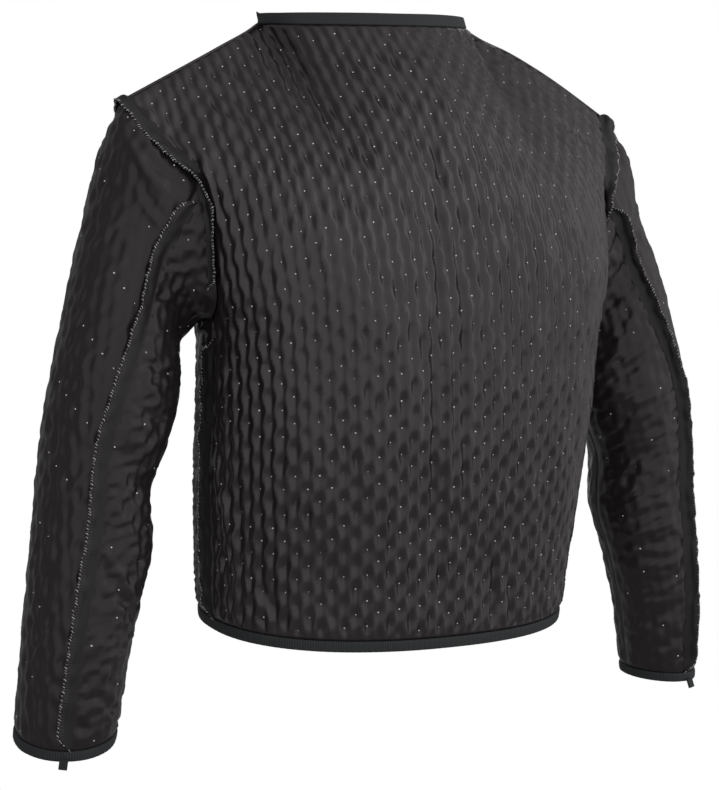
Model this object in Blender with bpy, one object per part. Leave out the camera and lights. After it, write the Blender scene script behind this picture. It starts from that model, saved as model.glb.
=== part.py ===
"""Quilted liner jacket of a motorcycle jacket, filled out with no wearer.

Metres, +Z up. The origin is on the centre line at the height of the neck points, the jacket's
front looks along -Y, and the wearer's left side is +X. Every cloth piece is a wall of satin,
wadding and lining, laid on a grid of points: columns run across the piece and rows run up it.
"""
import math

import bpy
import numpy as np

# ---------------------------------------------------------------- driving sizes

WALL = 0.003              # satin, wadding and lining together
SEAM_GAP = 0.0003         # clear space between two pieces that are sewn together
BINDING_WALL = 0.0042     # tape folded over a raw edge
NECK_TAPE_WALL = 0.0024   # the neck tape is a flat band
NECK_TAPE_HEIGHT = 0.0130
HEM_TAPE_HEIGHT = 0.0095
CUFF_TAPE_HEIGHT = 0.0085
FRONT_TAPE_WIDTH = 0.0100
FRONT_OPENING = 0.0010    # the two bound front edges meet with this gap between them
ALLOWANCE_WIDTH = 0.0090  # overlocked seam allowance that stands out from a seam
ALLOWANCE_WALL = 0.0018
ALLOWANCE_CLEAR = 0.0010  # its foot stands this far off the panels, which bend at the seam
TAB_LENGTH = 0.0095
TAB_WIDTH = 0.0080
TAB_WALL = 0.0024
TAB_OUTWARD = 0.40        # the cuff tab's direction: this much outward
TAB_ONWARD = 0.90         # and this much on past the cuff

# How far each seam allowance stops short of the two ends of its seam.
SIDE_SHORT = (0.001, 0.016)          # at the hem, at the underarm
SLEEVE_SHORT = (0.001, 0.016)        # at the cuff, at the armhole
ARMHOLE_FRONT_SHORT = 0.105          # at the front of the underarm; at the back it differs

COLUMNS = 12              # across half of the back, and across a front
NECK_COLUMNS = 5          # of those, the ones that end at the neck
SKIRT_ROWS = 10           # from the hem to the underarm
ARM_ROWS = 9              # from the underarm to the shoulder
BACK_SEAM_COLUMN = 4      # sleeve column of the back seam, counted from the shoulder tip
UNDER_COLUMNS = 5         # across the under sleeve
SLEEVE_ROWS = 15
TAPE_ROWS = 2
RIM_ORDER = (0.31, 0.59, 0.74)   # sorts the ends of a seam step, whichever piece it is on

# Body sections below the underarm, from the hem up. The side seam is the widest point.
TORSO = (
    # height, half_width, back_y, side_y, front_y, squareness, rise_to_front
    (-0.5795, 0.1930, 0.1250, 0.0060, -0.1110, 2.3, 0.140),
    (-0.5200, 0.1990, 0.1350, 0.0110, -0.1090, 2.3, 0.080),
    (-0.4400, 0.2050, 0.1520, 0.0230, -0.1000, 2.3, 0.030),
    (-0.3700, 0.2080, 0.1640, 0.0340, -0.0880, 2.3, 0.000),
    (-0.2900, 0.2100, 0.1700, 0.0420, -0.0790, 2.3, 0.000),
)

# Armhole edge of the body from the underarm up to the shoulder tip.
ARMHOLE_BACK = (
    # x, y, z
    (0.2100, 0.0420, -0.2900),
    (0.2155, 0.0620, -0.2700),
    (0.2215, 0.0670, -0.2300),
    (0.2290, 0.0660, -0.1750),
    (0.2440, 0.0530, -0.1460),
    (0.2600, 0.0330, -0.1230),
    (0.2720, 0.0110, -0.0970),
    (0.2780, 0.0000, -0.0840),
)
ARMHOLE_FRONT = (
    # x, y, z
    (0.2100, 0.0420, -0.2900),
    (0.2060, 0.0040, -0.2810),
    (0.2060, -0.0320, -0.2500),
    (0.2150, -0.0520, -0.2050),
    (0.2330, -0.0520, -0.1560),
    (0.2540, -0.0380, -0.1200),
    (0.2700, -0.0170, -0.0950),
    (0.2780, 0.0000, -0.0840),
)

# Centre lines of the back and the front from underarm level up to the neck seam.
CENTRE_BACK = (
    # y, z
    (0.1680, -0.2400),
    (0.1580, -0.1750),
    (0.1370, -0.1150),
    (0.1000, -0.0600),
    (0.0450, -0.0055),
)
CENTRE_FRONT = (
    # y, z
    (-0.0850, -0.2600),
    (-0.0950, -0.2150),
    (-0.1050, -0.1700),
    (-0.1130, -0.1250),
    (-0.1180, -0.0850),
)

NECK_HALF_WIDTH = 0.1140
NECK_SIDE = (-0.0380, 0.0000)        # y and z of the neck point, where neck and shoulder seams meet
SHOULDER_CROWN = 0.0130              # rise of the shoulder seam above a straight line
SHOULDER_PEAK = 0.80                 # below 1, its highest point is nearer the neck
SHOULDER_SET_BACK = 0.0120           # the shoulder seam runs this far behind the top of the shoulder
SHOULDER_TOP = 0.0100                # and the front goes this much higher before it

# Sleeve sections below the armhole, by their outer and inner points as seen from the front.
SLEEVE = (
    # outer_x, outer_z, inner_x, inner_z, middle_y, half_depth, drop_to_back
    (0.2920, -0.1150, 0.2190, -0.3000, 0.0020, 0.0590, 0.0),
    (0.3010, -0.1480, 0.2290, -0.3130, -0.0030, 0.0580, 0.0),
    (0.3130, -0.1880, 0.2340, -0.3300, 0.0000, 0.0580, 0.0),
    (0.3290, -0.2350, 0.2360, -0.3530, 0.0070, 0.0590, 0.0),
    (0.3420, -0.2850, 0.2420, -0.3800, 0.0120, 0.0600, 0.0),
    (0.3550, -0.3350, 0.2560, -0.4130, 0.0160, 0.0590, 2.0),
    (0.3650, -0.3950, 0.2700, -0.4500, 0.0140, 0.0570, 3.0),
    (0.3725, -0.4600, 0.2680, -0.4960, 0.0140, 0.0560, 4.0),
    (0.3805, -0.5250, 0.2835, -0.5480, 0.0160, 0.0530, 6.0),
    (0.3870, -0.5900, 0.2980, -0.6040, 0.0150, 0.0500, 7.0),
    (0.3925, -0.6640, 0.3090, -0.6640, 0.0090, 0.0470, 8.0),
)
# Direction in which the back sleeve seam looks, in degrees from outward (0) to the back (90).
BACK_SEAM = (
    # share_of_length, azimuth
    (0.00, 90.0),
    (0.25, 80.0),
    (0.50, 69.0),
    (1.00, 67.0),
)
UNDERARM_AZIMUTH = 148.0             # where the inner sleeve seam starts
# Lean of the seam allowances along each seam, in degrees from straight out.
SIDE_LEAN = (
    # share_of_length, over the front
    (0.0, 72.0),
    (1.0, 72.0),
)
ARMHOLE_LEAN = (
    # share_of_length from the back underarm, over the body
    (0.00, 30.0),
    (0.26, 32.0),
    (0.38, -52.0),
    (0.62, -95.0),
    (0.80, -50.0),
    (1.00, 0.0),
)
# What differs between the wearer's left (1) and right (-1) sleeve, as the jacket hangs.
HANG = {
    # direction of the inner seam, turn of the back seam at the cuff, extra tilt of the cuff
    # outward and backward, how far the cuff sits higher and nearer to the body, its width, and
    # how far the place where the armhole allowance turns over is moved along its seam, how far
    # that allowance stops short of the underarm, and how far the back sleeve seam's allowance
    # leans over the outer sleeve
    1: {"inner_seam": 150.0, "back_seam": -4.0, "cuff_lift": -6.0, "cuff_drop": 4.0,
        "cuff_rise": -0.0020, "cuff_inward": 0.0035, "cuff_width": 1.09,
        "armhole_turn": 0.0, "armhole_short": 0.010, "sleeve_lean": 62.0},
    -1: {"inner_seam": 188.0, "back_seam": 12.0, "cuff_lift": -1.5, "cuff_drop": -4.0,
         "cuff_rise": -0.0110, "cuff_inward": 0.0, "cuff_width": 0.90,
         "armhole_turn": -0.14, "armhole_short": 0.080, "sleeve_lean": 24.0},
}
# The largest soft folds of the back, each along a straight line; a minus depth is a hollow.
FOLDS = (
    # x_top, z_top, x_bottom, z_bottom, depth, half_width
    (0.0300, -0.0500, 0.0340, -0.5700, -0.0035, 0.030),
    (-0.0440, -0.4400, -0.0500, -0.6100, -0.0050, 0.026),
    (0.1500, -0.4600, 0.1150, -0.6000, -0.0040, 0.026),
    (-0.2000, -0.1300, -0.2700, -0.1050, -0.0035, 0.024),
)
FOLD_RUN_OUT = 0.050                 # length over which a fold dies away at its ends
# The jacket hangs a little askew: these lower the wearer's left side at the neck and raise it
# at the hem.
NECK_SWAY = 0.0035
HEM_SWAY = 0.0020
NECK_SWAY_HEIGHTS = (-0.20, -0.04)   # the neck's sway grows from the first height to the second
NECK_SWAY_REACH = 0.28               # and returns to nothing at this distance from the centre
HEM_SWAY_HEIGHTS = (-0.36, -0.58)
HEM_SWAY_REACH = 0.19
BODY_REACH = (0.26, 0.22)            # the sleeves, past these distances, keep out of the hem's sway
FOLD_DEPTHS = (0.045, 0.100)         # folds grow between these distances behind the centre
FOLD_REACH = (0.215, 0.190)          # and die away between these distances to the side

COLOURS = {
    # piece family: base colour, roughness
    "quilt": ((0.040, 0.038, 0.038, 1.0), 0.42),
    "tape": ((0.030, 0.031, 0.032, 1.0), 0.70),
    "overlock": ((0.075, 0.075, 0.078, 1.0), 0.85),
}


# ---------------------------------------------------------------- curves and grids

def unit(vectors):
    """Each vector at length one."""
    vectors = np.asarray(vectors, dtype=float)
    return vectors / np.maximum(np.linalg.norm(vectors, axis=-1, keepdims=True), 1e-12)


def smooth_curve(rows, count):
    """A Catmull-Rom curve through the rows of a table, at count + 1 even steps of length."""
    rows = np.asarray(rows, dtype=float)
    ends = np.vstack([2 * rows[0] - rows[1], rows, 2 * rows[-1] - rows[-2]])
    dense = []
    for index in range(len(rows) - 1):
        a, b, c, d = ends[index:index + 4]
        for t in np.linspace(0.0, 1.0, 24, endpoint=False):
            dense.append(0.5 * (2 * b + (c - a) * t + (2 * a - 5 * b + 4 * c - d) * t ** 2
                                + (3 * b - a - 3 * c + d) * t ** 3))
    dense.append(rows[-1])
    return even_steps(np.array(dense), count)


def even_steps(points, count, width=3):
    """The same line at count + 1 points, an equal length apart in its first width columns."""
    lengths = np.linalg.norm(np.diff(points[:, :width], axis=0), axis=1)
    distance = np.concatenate([[0.0], np.cumsum(lengths)])
    wanted = np.linspace(0.0, distance[-1], count + 1)
    return np.stack([np.interp(wanted, distance, column) for column in points.T], axis=1)


def table_at(rows, key, column_count):
    """Values of a table's columns where its first column is key, on a smooth curve."""
    dense = smooth_curve(rows, 200)
    order = np.argsort(dense[:, 0])
    return [float(np.interp(key, dense[order, 0], dense[order, column]))
            for column in range(1, column_count + 1)]


def body_row(section, towards, columns, start_x=0.0):
    """Half of a body section from the centre to the side seam."""
    height, half_width, back_y, side_y, front_y, squareness, rise = section
    centre_y = back_y if towards == "back" else front_y
    turn = np.linspace(0.0, math.pi / 2, 160)
    x = half_width * np.sin(turn) ** (2 / squareness)
    y = side_y + (centre_y - side_y) * np.cos(turn) ** (2 / squareness)
    z = height - rise * (y - side_y)
    line = np.stack([x, y, z], axis=1)
    if start_x > 0.0:
        first = np.array([[start_x, centre_y, z[0]]])
        line = np.vstack([first, line[x > start_x + 1e-4]])
    return even_steps(line, columns)


def neck_arc(towards, start_x=0.0):
    """A quarter of the neck seam, from the centre to the neck point."""
    centre_y, centre_z = (CENTRE_BACK if towards == "back" else CENTRE_FRONT)[-1]
    side_y, side_z = NECK_SIDE
    turn = np.linspace(0.0, math.pi / 2, 80)
    drop = (1.0 - np.cos(turn)) ** (1.0 if towards == "back" else 1.25)
    x = NECK_HALF_WIDTH * np.sin(turn)
    y = side_y + (centre_y - side_y) * np.cos(turn)
    z = centre_z + (side_z - centre_z) * drop
    line = np.stack([x, y, z], axis=1)
    if start_x > 0.0:
        first = np.array([[start_x, centre_y, centre_z]])
        line = np.vstack([first, line[x > start_x + 1e-4]])
    return line


def shoulder_line():
    """The shoulder seam, from the neck point to the shoulder tip."""
    start = np.array([NECK_HALF_WIDTH, *NECK_SIDE])
    end = np.array(ARMHOLE_BACK[-1])
    share = np.linspace(0.0, 1.0, 60)[:, None]
    line = start + (end - start) * share
    arch = np.sin(share[:, 0] ** SHOULDER_PEAK * math.pi)
    line[:, 1] += SHOULDER_SET_BACK * arch
    line[:, 2] += (SHOULDER_CROWN - SHOULDER_TOP) * arch
    return line


def top_row(towards, columns, start_x=0.0):
    """The panel's top edge: neck seam, then shoulder seam."""
    neck = even_steps(neck_arc(towards, start_x), NECK_COLUMNS)
    shoulder = even_steps(shoulder_line(), columns - NECK_COLUMNS)
    return np.vstack([neck, shoulder[1:]])


def yoke_rows(bottom, top, centre, edge, top_lift):
    """A patch between four lines that takes its fullness from its bottom and top rows."""
    across = np.linspace(0.0, 1.0, len(bottom))[:, None]
    bottom_bulge = bottom - (bottom[0] + (bottom[-1] - bottom[0]) * across)
    top_bulge = top - (top[0] + (top[-1] - top[0]) * across)
    shoulder = np.clip((across[:, 0] - 0.3) / 0.7, 0.0, 1.0)
    lift = np.outer(np.sin(shoulder * math.pi), (0.0, 0.0, top_lift))
    rows = []
    for index in range(1, len(centre)):
        up = index / (len(centre) - 1)
        straight = centre[index] + (edge[index] - centre[index]) * across
        keep = (1.0 - up) ** 2 * (1.0 + 2.0 * up)
        over = math.sin(math.pi * up ** 7)
        rows.append(straight + bottom_bulge * keep + top_bulge * up ** 4 + lift * over)
    return rows


def half_body(towards, columns, start_x=0.0):
    """Grid of one half of the body, hem to shoulder: rows of points from centre to side."""
    heights = np.linspace(TORSO[0][0], TORSO[-1][0], SKIRT_ROWS + 1)
    skirt = [body_row([height] + table_at(TORSO, height, 6), towards, columns, start_x)
             for height in heights]
    edge = smooth_curve(ARMHOLE_BACK if towards == "back" else ARMHOLE_FRONT, ARM_ROWS)
    centre_rows = CENTRE_BACK if towards == "back" else CENTRE_FRONT
    centre = smooth_curve([(start_x, y, z) for y, z in centre_rows], 40)
    first = skirt[-1][0]
    centre = even_steps(np.vstack([first, centre[centre[:, 2] > first[2] + 0.03]]), ARM_ROWS)
    top_lift = SHOULDER_TOP if towards == "front" else 0.0
    yoke = yoke_rows(skirt[-1], top_row(towards, columns, start_x), centre, edge, top_lift)
    return np.array(skirt + yoke)


def armhole_ring():
    """The armhole from the shoulder tip down the back, round the underarm and up the front."""
    back = smooth_curve(ARMHOLE_BACK, ARM_ROWS)[::-1]
    front = smooth_curve(ARMHOLE_FRONT, ARM_ROWS)
    return np.vstack([back, front[1:-1]])


def seam_columns(side, share):
    """Direction of every sleeve column at a share of the sleeve's length, in radians."""
    back_seam = table_at(BACK_SEAM, share, 1)[0]
    back_seam += HANG[side]["back_seam"] * float(fade(share, 0.5, 1.0))
    inner_seam = UNDERARM_AZIMUTH
    inner_seam += (HANG[side]["inner_seam"] - UNDERARM_AZIMUTH) * float(fade(share, 0.05, 0.40))
    columns = 2 * ARM_ROWS
    inner_column = BACK_SEAM_COLUMN + UNDER_COLUMNS
    azimuths = np.interp(np.arange(columns), (0, BACK_SEAM_COLUMN, inner_column, columns),
                         (0.0, back_seam, inner_seam, 360.0))
    return np.radians(azimuths)


def sleeve_section(row, azimuths, hang, near_cuff):
    """Points of one sleeve section, at the given directions."""
    outer_x, outer_z, inner_x, inner_z, middle_y, half_depth, drop = row
    widen = 1.0 + (hang["cuff_width"] - 1.0) * near_cuff
    centre = np.array([(outer_x + inner_x) / 2 - hang["cuff_inward"] * near_cuff, middle_y,
                       (outer_z + inner_z) / 2 + hang["cuff_rise"] * near_cuff])
    half_width = math.hypot(outer_x - inner_x, outer_z - inner_z) / 2 * widen
    lift = math.atan2(outer_z - inner_z, outer_x - inner_x)
    lift += math.radians(hang["cuff_lift"] * near_cuff)
    drop = math.radians(drop + hang["cuff_drop"] * near_cuff)
    outward = np.array([math.cos(lift), 0.0, math.sin(lift)])
    backward = np.array([0.0, math.cos(drop), -math.sin(drop)])
    return (centre + half_width * np.cos(azimuths)[:, None] * outward
            + half_depth * widen * np.sin(azimuths)[:, None] * backward)


def sleeve_grid(side):
    """Rows of points round the sleeve, armhole first, on the wearer's left side."""
    rows = [armhole_ring()]
    for index, section in enumerate(smooth_curve(SLEEVE, SLEEVE_ROWS - 1)):
        share = (index + 1) / SLEEVE_ROWS
        near_cuff = max(0.0, share * 2.0 - 1.0) ** 2
        rows.append(sleeve_section(section, seam_columns(side, share), HANG[side], near_cuff))
    return np.array(rows)


def mirrored(grid):
    """The same grid on the wearer's right side."""
    return grid * np.array([-1.0, 1.0, 1.0])


def fade(values, start, end):
    """0 at start and before it, 1 at end and past it, and smooth between."""
    share = np.clip((values - start) / (end - start), 0.0, 1.0)
    return share * share * (3.0 - 2.0 * share)


def folds(x, z):
    """How far the folds of the back push each point outward."""
    pushed = np.zeros_like(x)
    for x_top, z_top, x_bottom, z_bottom, depth, half_width in FOLDS:
        start = np.array([x_top, z_top])
        way = np.array([x_bottom, z_bottom]) - start
        length = np.linalg.norm(way)
        way = way / length
        along = (x - start[0]) * way[0] + (z - start[1]) * way[1]
        aside = (x - start[0]) * way[1] - (z - start[1]) * way[0]
        ends = fade(along, 0.0, FOLD_RUN_OUT) * fade(along, length, length - FOLD_RUN_OUT)
        pushed += depth * ends * np.exp(-(aside / half_width) ** 2)
    return pushed


def hung(grid):
    """The grid with its folds and the sway of the hanging jacket."""
    x, y, z = grid[..., 0], grid[..., 1], grid[..., 2]
    neck = fade(z, *NECK_SWAY_HEIGHTS)
    neck = neck * np.sin(np.clip(x / NECK_SWAY_REACH, -1.0, 1.0) * math.pi)
    hem = fade(z, *HEM_SWAY_HEIGHTS) * fade(np.abs(x), *BODY_REACH)
    hem = hem * np.clip(x / HEM_SWAY_REACH, -1.0, 1.0)
    result = grid.copy()
    result[..., 1] = y + folds(x, z) * fade(y, *FOLD_DEPTHS) * fade(np.abs(x), *FOLD_REACH)
    result[..., 2] = z - NECK_SWAY * neck + HEM_SWAY * hem
    return result


# ---------------------------------------------------------------- walls

def weld_key(point):
    return tuple(np.round(point, 6))


def shared_normals(grids):
    """Outward direction at every point, the same for all the pieces that meet there."""
    total = {}
    for grid in grids.values():
        for row in range(grid.shape[0] - 1):
            for column in range(grid.shape[1] - 1):
                a = grid[row, column]
                b = grid[row, column + 1]
                c = grid[row + 1, column + 1]
                d = grid[row + 1, column]
                face = unit(np.cross(c - a, d - b))
                for point in (a, b, c, d):
                    key = weld_key(point)
                    total[key] = total.get(key, np.zeros(3)) + face
    return total


def normals_of(grid, total):
    return unit(np.array([[total[weld_key(point)] for point in row] for row in grid]))


def inward_from(edge, inside, normals):
    """Directions that leave an edge at right angles to it, along the cloth."""
    way = unit(np.gradient(edge, axis=0))
    across = unit(np.cross(normals, way))
    return across * np.sign(np.einsum("ij,ij->i", across, inside - edge))[:, None]


def pull_in(grid, normals, distance):
    """The grid with its four edges drawn in by a distance, so that it clears its neighbours."""
    result = grid.copy()
    for edge, inside in ((0, 1), (-1, -2)):
        result[edge] += inward_from(grid[edge], grid[inside], normals[edge]) * distance
        result[:, edge] += inward_from(grid[:, edge], grid[:, inside], normals[:, edge]) * distance
    return result


def add_mesh(name, vertices, faces, family):
    mesh = bpy.data.meshes.new(name)
    mesh.from_pydata([tuple(point) for point in vertices], [], faces)
    mesh.validate()
    mesh.update()
    piece = bpy.data.objects.new(name, mesh)
    collection.objects.link(piece)
    mesh.materials.append(material(name, family))
    return piece


def wall_from_faces(name, outer, inner, family, ring=False):
    """A closed wall between two grids of the same shape. A ring closes on its first column."""
    rows, columns = outer.shape[:2]
    count = rows * columns
    vertices = np.vstack([outer.reshape(-1, 3), inner.reshape(-1, 3)])
    mirror_free = np.hstack([np.abs(vertices[:, :1]), vertices[:, 1:]])
    faces = []

    def index(row, column, layer):
        return layer * count + row * columns + column % columns

    last = columns if ring else columns - 1
    for row in range(rows - 1):
        for column in range(last):
            a = index(row, column, 0)
            b = index(row, column + 1, 0)
            c = index(row + 1, column + 1, 0)
            d = index(row + 1, column, 0)
            if math.dist(vertices[a], vertices[c]) > math.dist(vertices[b], vertices[d]):
                a, b, c, d = b, c, d, a
            faces.append((a, b, c, d))
            faces.append((a + count, d + count, c + count, b + count))

    def add_rim(a, b):
        """A face between the layers. Its diagonal is the same on both pieces of a seam."""
        if np.dot(mirror_free[b] - mirror_free[a], RIM_ORDER) > 0:
            faces.append((a, b, b + count, a + count))
        else:
            faces.append((b, b + count, a + count, a))

    for column in range(last):
        add_rim(index(0, column + 1, 0), index(0, column, 0))
        add_rim(index(rows - 1, column, 0), index(rows - 1, column + 1, 0))
    if not ring:
        for row in range(rows - 1):
            add_rim(index(row, 0, 0), index(row + 1, 0, 0))
            add_rim(index(row + 1, columns - 1, 0), index(row, columns - 1, 0))
    return add_mesh(name, vertices, faces, family)


def cloth_wall(name, grid, normals, thickness=WALL, family="quilt", ring=False):
    """A wall of even thickness about the middle surface of a grid."""
    half = thickness / 2
    return wall_from_faces(name, grid + normals * half, grid - normals * half, family, ring)


# ---------------------------------------------------------------- materials

def material(name, family):
    colour, roughness = COLOURS[family]
    finish = bpy.data.materials.new(name)
    finish.use_nodes = True
    shader = finish.node_tree.nodes["Principled BSDF"]
    shader.inputs["Base Color"].default_value = colour
    shader.inputs["Roughness"].default_value = roughness
    shader.inputs["Metallic"].default_value = 0.0
    finish.diffuse_color = colour
    return finish


# ---------------------------------------------------------------- the jacket

def panel_grids():
    """Middle surfaces of the cloth panels, each with its faces looking outward."""
    back_half = half_body("back", COLUMNS)
    back = np.concatenate([back_half[:, :0:-1], mirrored(back_half)], axis=1)
    front_edge = FRONT_OPENING / 2 + FRONT_TAPE_WIDTH + SEAM_GAP
    front = half_body("front", COLUMNS, front_edge)
    grids = {"back_panel": back, "front_left": front, "front_right": mirrored(front)[:, ::-1]}
    for side, label in ((1, "left"), (-1, "right")):
        tube = sleeve_grid(side)
        if side < 0:
            tube = mirrored(tube)
        inner_column = BACK_SEAM_COLUMN + UNDER_COLUMNS
        around = np.arange(inner_column, 2 * ARM_ROWS + BACK_SEAM_COLUMN + 1) % (2 * ARM_ROWS)
        under = tube[:, BACK_SEAM_COLUMN:inner_column + 1]
        outer = tube[:, around]
        if side < 0:
            outer = outer[:, ::-1]
            under = under[:, ::-1]
        grids["sleeve_%s_outer" % label] = outer[::-1]
        grids["sleeve_%s_under" % label] = under[::-1]
    return {name: hung(grid) for name, grid in grids.items()}


def facing_out(grid, facing):
    """The grid and its directions, with the rows turned round if its faces look inward."""
    across = grid[0, 1] - grid[0, 0]
    up = grid[1, 0] - grid[0, 0]
    if np.dot(np.cross(across, up), facing[0, 0]) < 0:
        return grid[::-1], facing[::-1]
    return grid, facing


def tape(name, edge, inside, normals, height, thickness, stand=0.0, ring=False):
    """Binding that carries on past a panel's edge, turned upright by its share of stand."""
    onward = unit(edge - inside)
    onward[1:-1] = unit(onward[:-2] + onward[1:-1] * 2 + onward[2:])
    upright = unit(onward * (1.0 - stand) + np.array([0.0, 0.0, stand]))
    along = np.roll(edge, -1, axis=0) - np.roll(edge, 1, axis=0)
    if not ring:
        along = np.gradient(edge, axis=0)
    turned = np.sign(np.einsum("ij,ij->i", np.cross(along, onward), normals))[:, None]
    rows = [edge + onward * SEAM_GAP]
    directions = [normals]
    for step in range(1, TAPE_ROWS + 1):
        share = step / TAPE_ROWS
        heading = unit(onward * (1.0 - share) + upright * share)
        rows.append(rows[-1] + heading * height / TAPE_ROWS)
        directions.append(unit(np.cross(along, heading) * turned))
    grid, facing = facing_out(np.array(rows), np.array(directions))
    return cloth_wall(name, grid, facing, thickness, "tape", ring)


def stretch(line, start, end):
    """The part of a line between two distances: start from its beginning, end before its end."""
    lengths = np.linalg.norm(np.diff(line[:, :3], axis=0), axis=1)
    distance = np.concatenate([[0.0], np.cumsum(lengths)])
    end = distance[-1] - end
    kept = distance[(distance > start + 0.002) & (distance < end - 0.002)]
    wanted = np.concatenate([[start], kept, [end]])
    return np.stack([np.interp(wanted, distance, column) for column in line.T], axis=1)


def allowance(name, seam, normals, across, lean, start, end):
    """Overlocked seam allowance: a strip that stands out along a seam and leans to one side."""
    line = stretch(np.hstack([seam, normals, unit(across)]), start, end)
    seam, normals, across = line[:, :3], unit(line[:, 3:6]), line[:, 6:9]
    share = np.linspace(0.0, 1.0, len(line))
    lean = np.radians(np.interp(share, *np.transpose(lean)))[:, None]
    way = unit(np.gradient(seam, axis=0))
    sideways = unit(across - way * np.einsum("ij,ij->i", across, way)[:, None])
    out = unit(normals - way * np.einsum("ij,ij->i", normals, way)[:, None])
    heading = unit(out * np.cos(lean) + sideways * np.sin(lean))
    foot = WALL / 2 + ALLOWANCE_CLEAR + ALLOWANCE_WALL / 2 * np.sin(np.abs(lean))
    rows = [seam + normals * foot + heading * (ALLOWANCE_WIDTH * share) for share in (0.0, 0.5, 1.0)]
    facing = np.array([unit(np.cross(way, heading))] * len(rows))
    grid, facing = facing_out(np.array(rows), facing)
    return cloth_wall(name, grid, facing, ALLOWANCE_WALL, "overlock")


def cuff_tab(name, foot, out, onward, along):
    """Short doubled tape at the end of the back sleeve seam."""
    heading = unit(out * TAB_OUTWARD + onward * TAB_ONWARD)
    facing = unit(np.cross(along, heading))
    start = foot + out * (BINDING_WALL / 2 + TAB_WALL * 0.75)
    grid = np.array([[start + heading * step + along * side * TAB_WIDTH / 2 for side in (-1, 1)]
                     for step in np.linspace(0.0, TAB_LENGTH, 3)])
    grid, facing = facing_out(grid, np.broadcast_to(facing, grid.shape))
    return cloth_wall(name, grid, facing, TAB_WALL, "tape")


def body_edge(grids, normals, row, inner_row, kept):
    """A line of edge points, the points inside it and their normals, left front to right."""
    parts = []
    for name in ("front_left", "back_panel", "front_right"):
        grid = grids[name]
        columns = kept[name]
        parts.append(np.stack([grid[row, columns], grid[inner_row, columns],
                               normals[name][row, columns]]))
    line = np.concatenate([parts[0], parts[1][:, 1:], parts[2][:, 1:]], axis=1)
    first = line[:, :1].copy()
    last = line[:, -1:].copy()
    first[:2, :, 0] = FRONT_OPENING / 2
    last[:2, :, 0] = -FRONT_OPENING / 2
    return np.concatenate([first, line, last], axis=1)


def add_body_tapes(grids, normals):
    whole = {name: slice(None) for name in grids}
    tape("hem_binding", *body_edge(grids, normals, 0, 1, whole), HEM_TAPE_HEIGHT, BINDING_WALL)
    at_neck = {"front_left": slice(0, NECK_COLUMNS + 1),
               "back_panel": slice(COLUMNS - NECK_COLUMNS, COLUMNS + NECK_COLUMNS + 1),
               "front_right": slice(COLUMNS - NECK_COLUMNS, COLUMNS + 1)}
    tape("neck_binding", *body_edge(grids, normals, -1, -2, at_neck), NECK_TAPE_HEIGHT,
         NECK_TAPE_WALL, stand=0.30)
    for side, label in ((1, "left"), (-1, "right")):
        column = 0 if side > 0 else -1
        edge = grids["front_" + label][:, column]
        inside = edge + np.array([side * FRONT_TAPE_WIDTH, 0.0, 0.0])
        tape("front_binding_" + label, edge, inside, normals["front_" + label][:, column],
             FRONT_TAPE_WIDTH, BINDING_WALL)


def add_side(grids, normals, side, label):
    """Cuff tape, seam allowances and cuff tab of one side of the jacket."""
    front = grids["front_" + label]
    front_normals = normals["front_" + label]
    outer = grids["sleeve_%s_outer" % label]
    under = grids["sleeve_%s_under" % label]
    outer_normals = normals["sleeve_%s_outer" % label]
    under_normals = normals["sleeve_%s_under" % label]
    back = grids["back_panel"]
    back_normals = normals["back_panel"]
    rim, rim_in = (-1, -2) if side > 0 else (0, 1)
    back_rim, back_in = (0, 1) if side > 0 else (-1, -2)

    ring = [np.concatenate([a[:-1], b[:-1]]) for a, b in (
        (outer[0], under[0]), (outer[1], under[1]), (outer_normals[0], under_normals[0]))]
    tape("cuff_binding_" + label, *ring, CUFF_TAPE_HEIGHT, BINDING_WALL, ring=True)

    allowance("side_seam_" + label, front[:SKIRT_ROWS + 1, rim],
              front_normals[:SKIRT_ROWS + 1, rim],
              (front[:, rim_in] - front[:, rim])[:SKIRT_ROWS + 1], SIDE_LEAN, *SIDE_SHORT)

    low = SKIRT_ROWS + 1
    armhole = np.vstack([back[low:, back_rim], front[low:-1, rim][::-1]])
    facing = np.vstack([back_normals[low:, back_rim], front_normals[low:-1, rim][::-1]])
    inward = np.vstack([(back[:, back_in] - back[:, back_rim])[low:],
                        (front[:, rim_in] - front[:, rim])[low:-1][::-1]])
    lean = [(share + HANG[side]["armhole_turn"] * (share < 0.5), angle)
            for share, angle in ARMHOLE_LEAN]
    allowance("armhole_seam_" + label, armhole, facing, inward, lean,
              HANG[side]["armhole_short"], ARMHOLE_FRONT_SHORT)

    seam_column, beside = (-1, -2) if side > 0 else (0, 1)
    lean = [(share, HANG[side]["sleeve_lean"]) for share in (0.0, 1.0)]
    allowance("sleeve_seam_" + label, outer[:, seam_column], outer_normals[:, seam_column],
              outer[:, beside] - outer[:, seam_column], lean, *SLEEVE_SHORT)

    cuff = outer[0, seam_column]
    onward = unit(cuff - outer[1, seam_column])
    out = outer_normals[0, seam_column]
    along = unit(np.cross(out, onward))
    cuff_tab("cuff_tab_" + label, cuff + onward * CUFF_TAPE_HEIGHT * 0.6, out, onward, along)


def build():
    grids = panel_grids()
    total = shared_normals(grids)
    normals = {name: normals_of(grid, total) for name, grid in grids.items()}
    for name, grid in grids.items():
        cloth_wall(name, pull_in(grid, normals[name], SEAM_GAP / 2), normals[name])
    add_body_tapes(grids, normals)
    for side, label in ((1, "left"), (-1, "right")):
        add_side(grids, normals, side, label)


for old in list(bpy.data.objects):
    bpy.data.objects.remove(old, do_unlink=True)
collection = bpy.data.collections.new("quilted_liner_jacket")
bpy.context.scene.collection.children.link(collection)
build()
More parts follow.
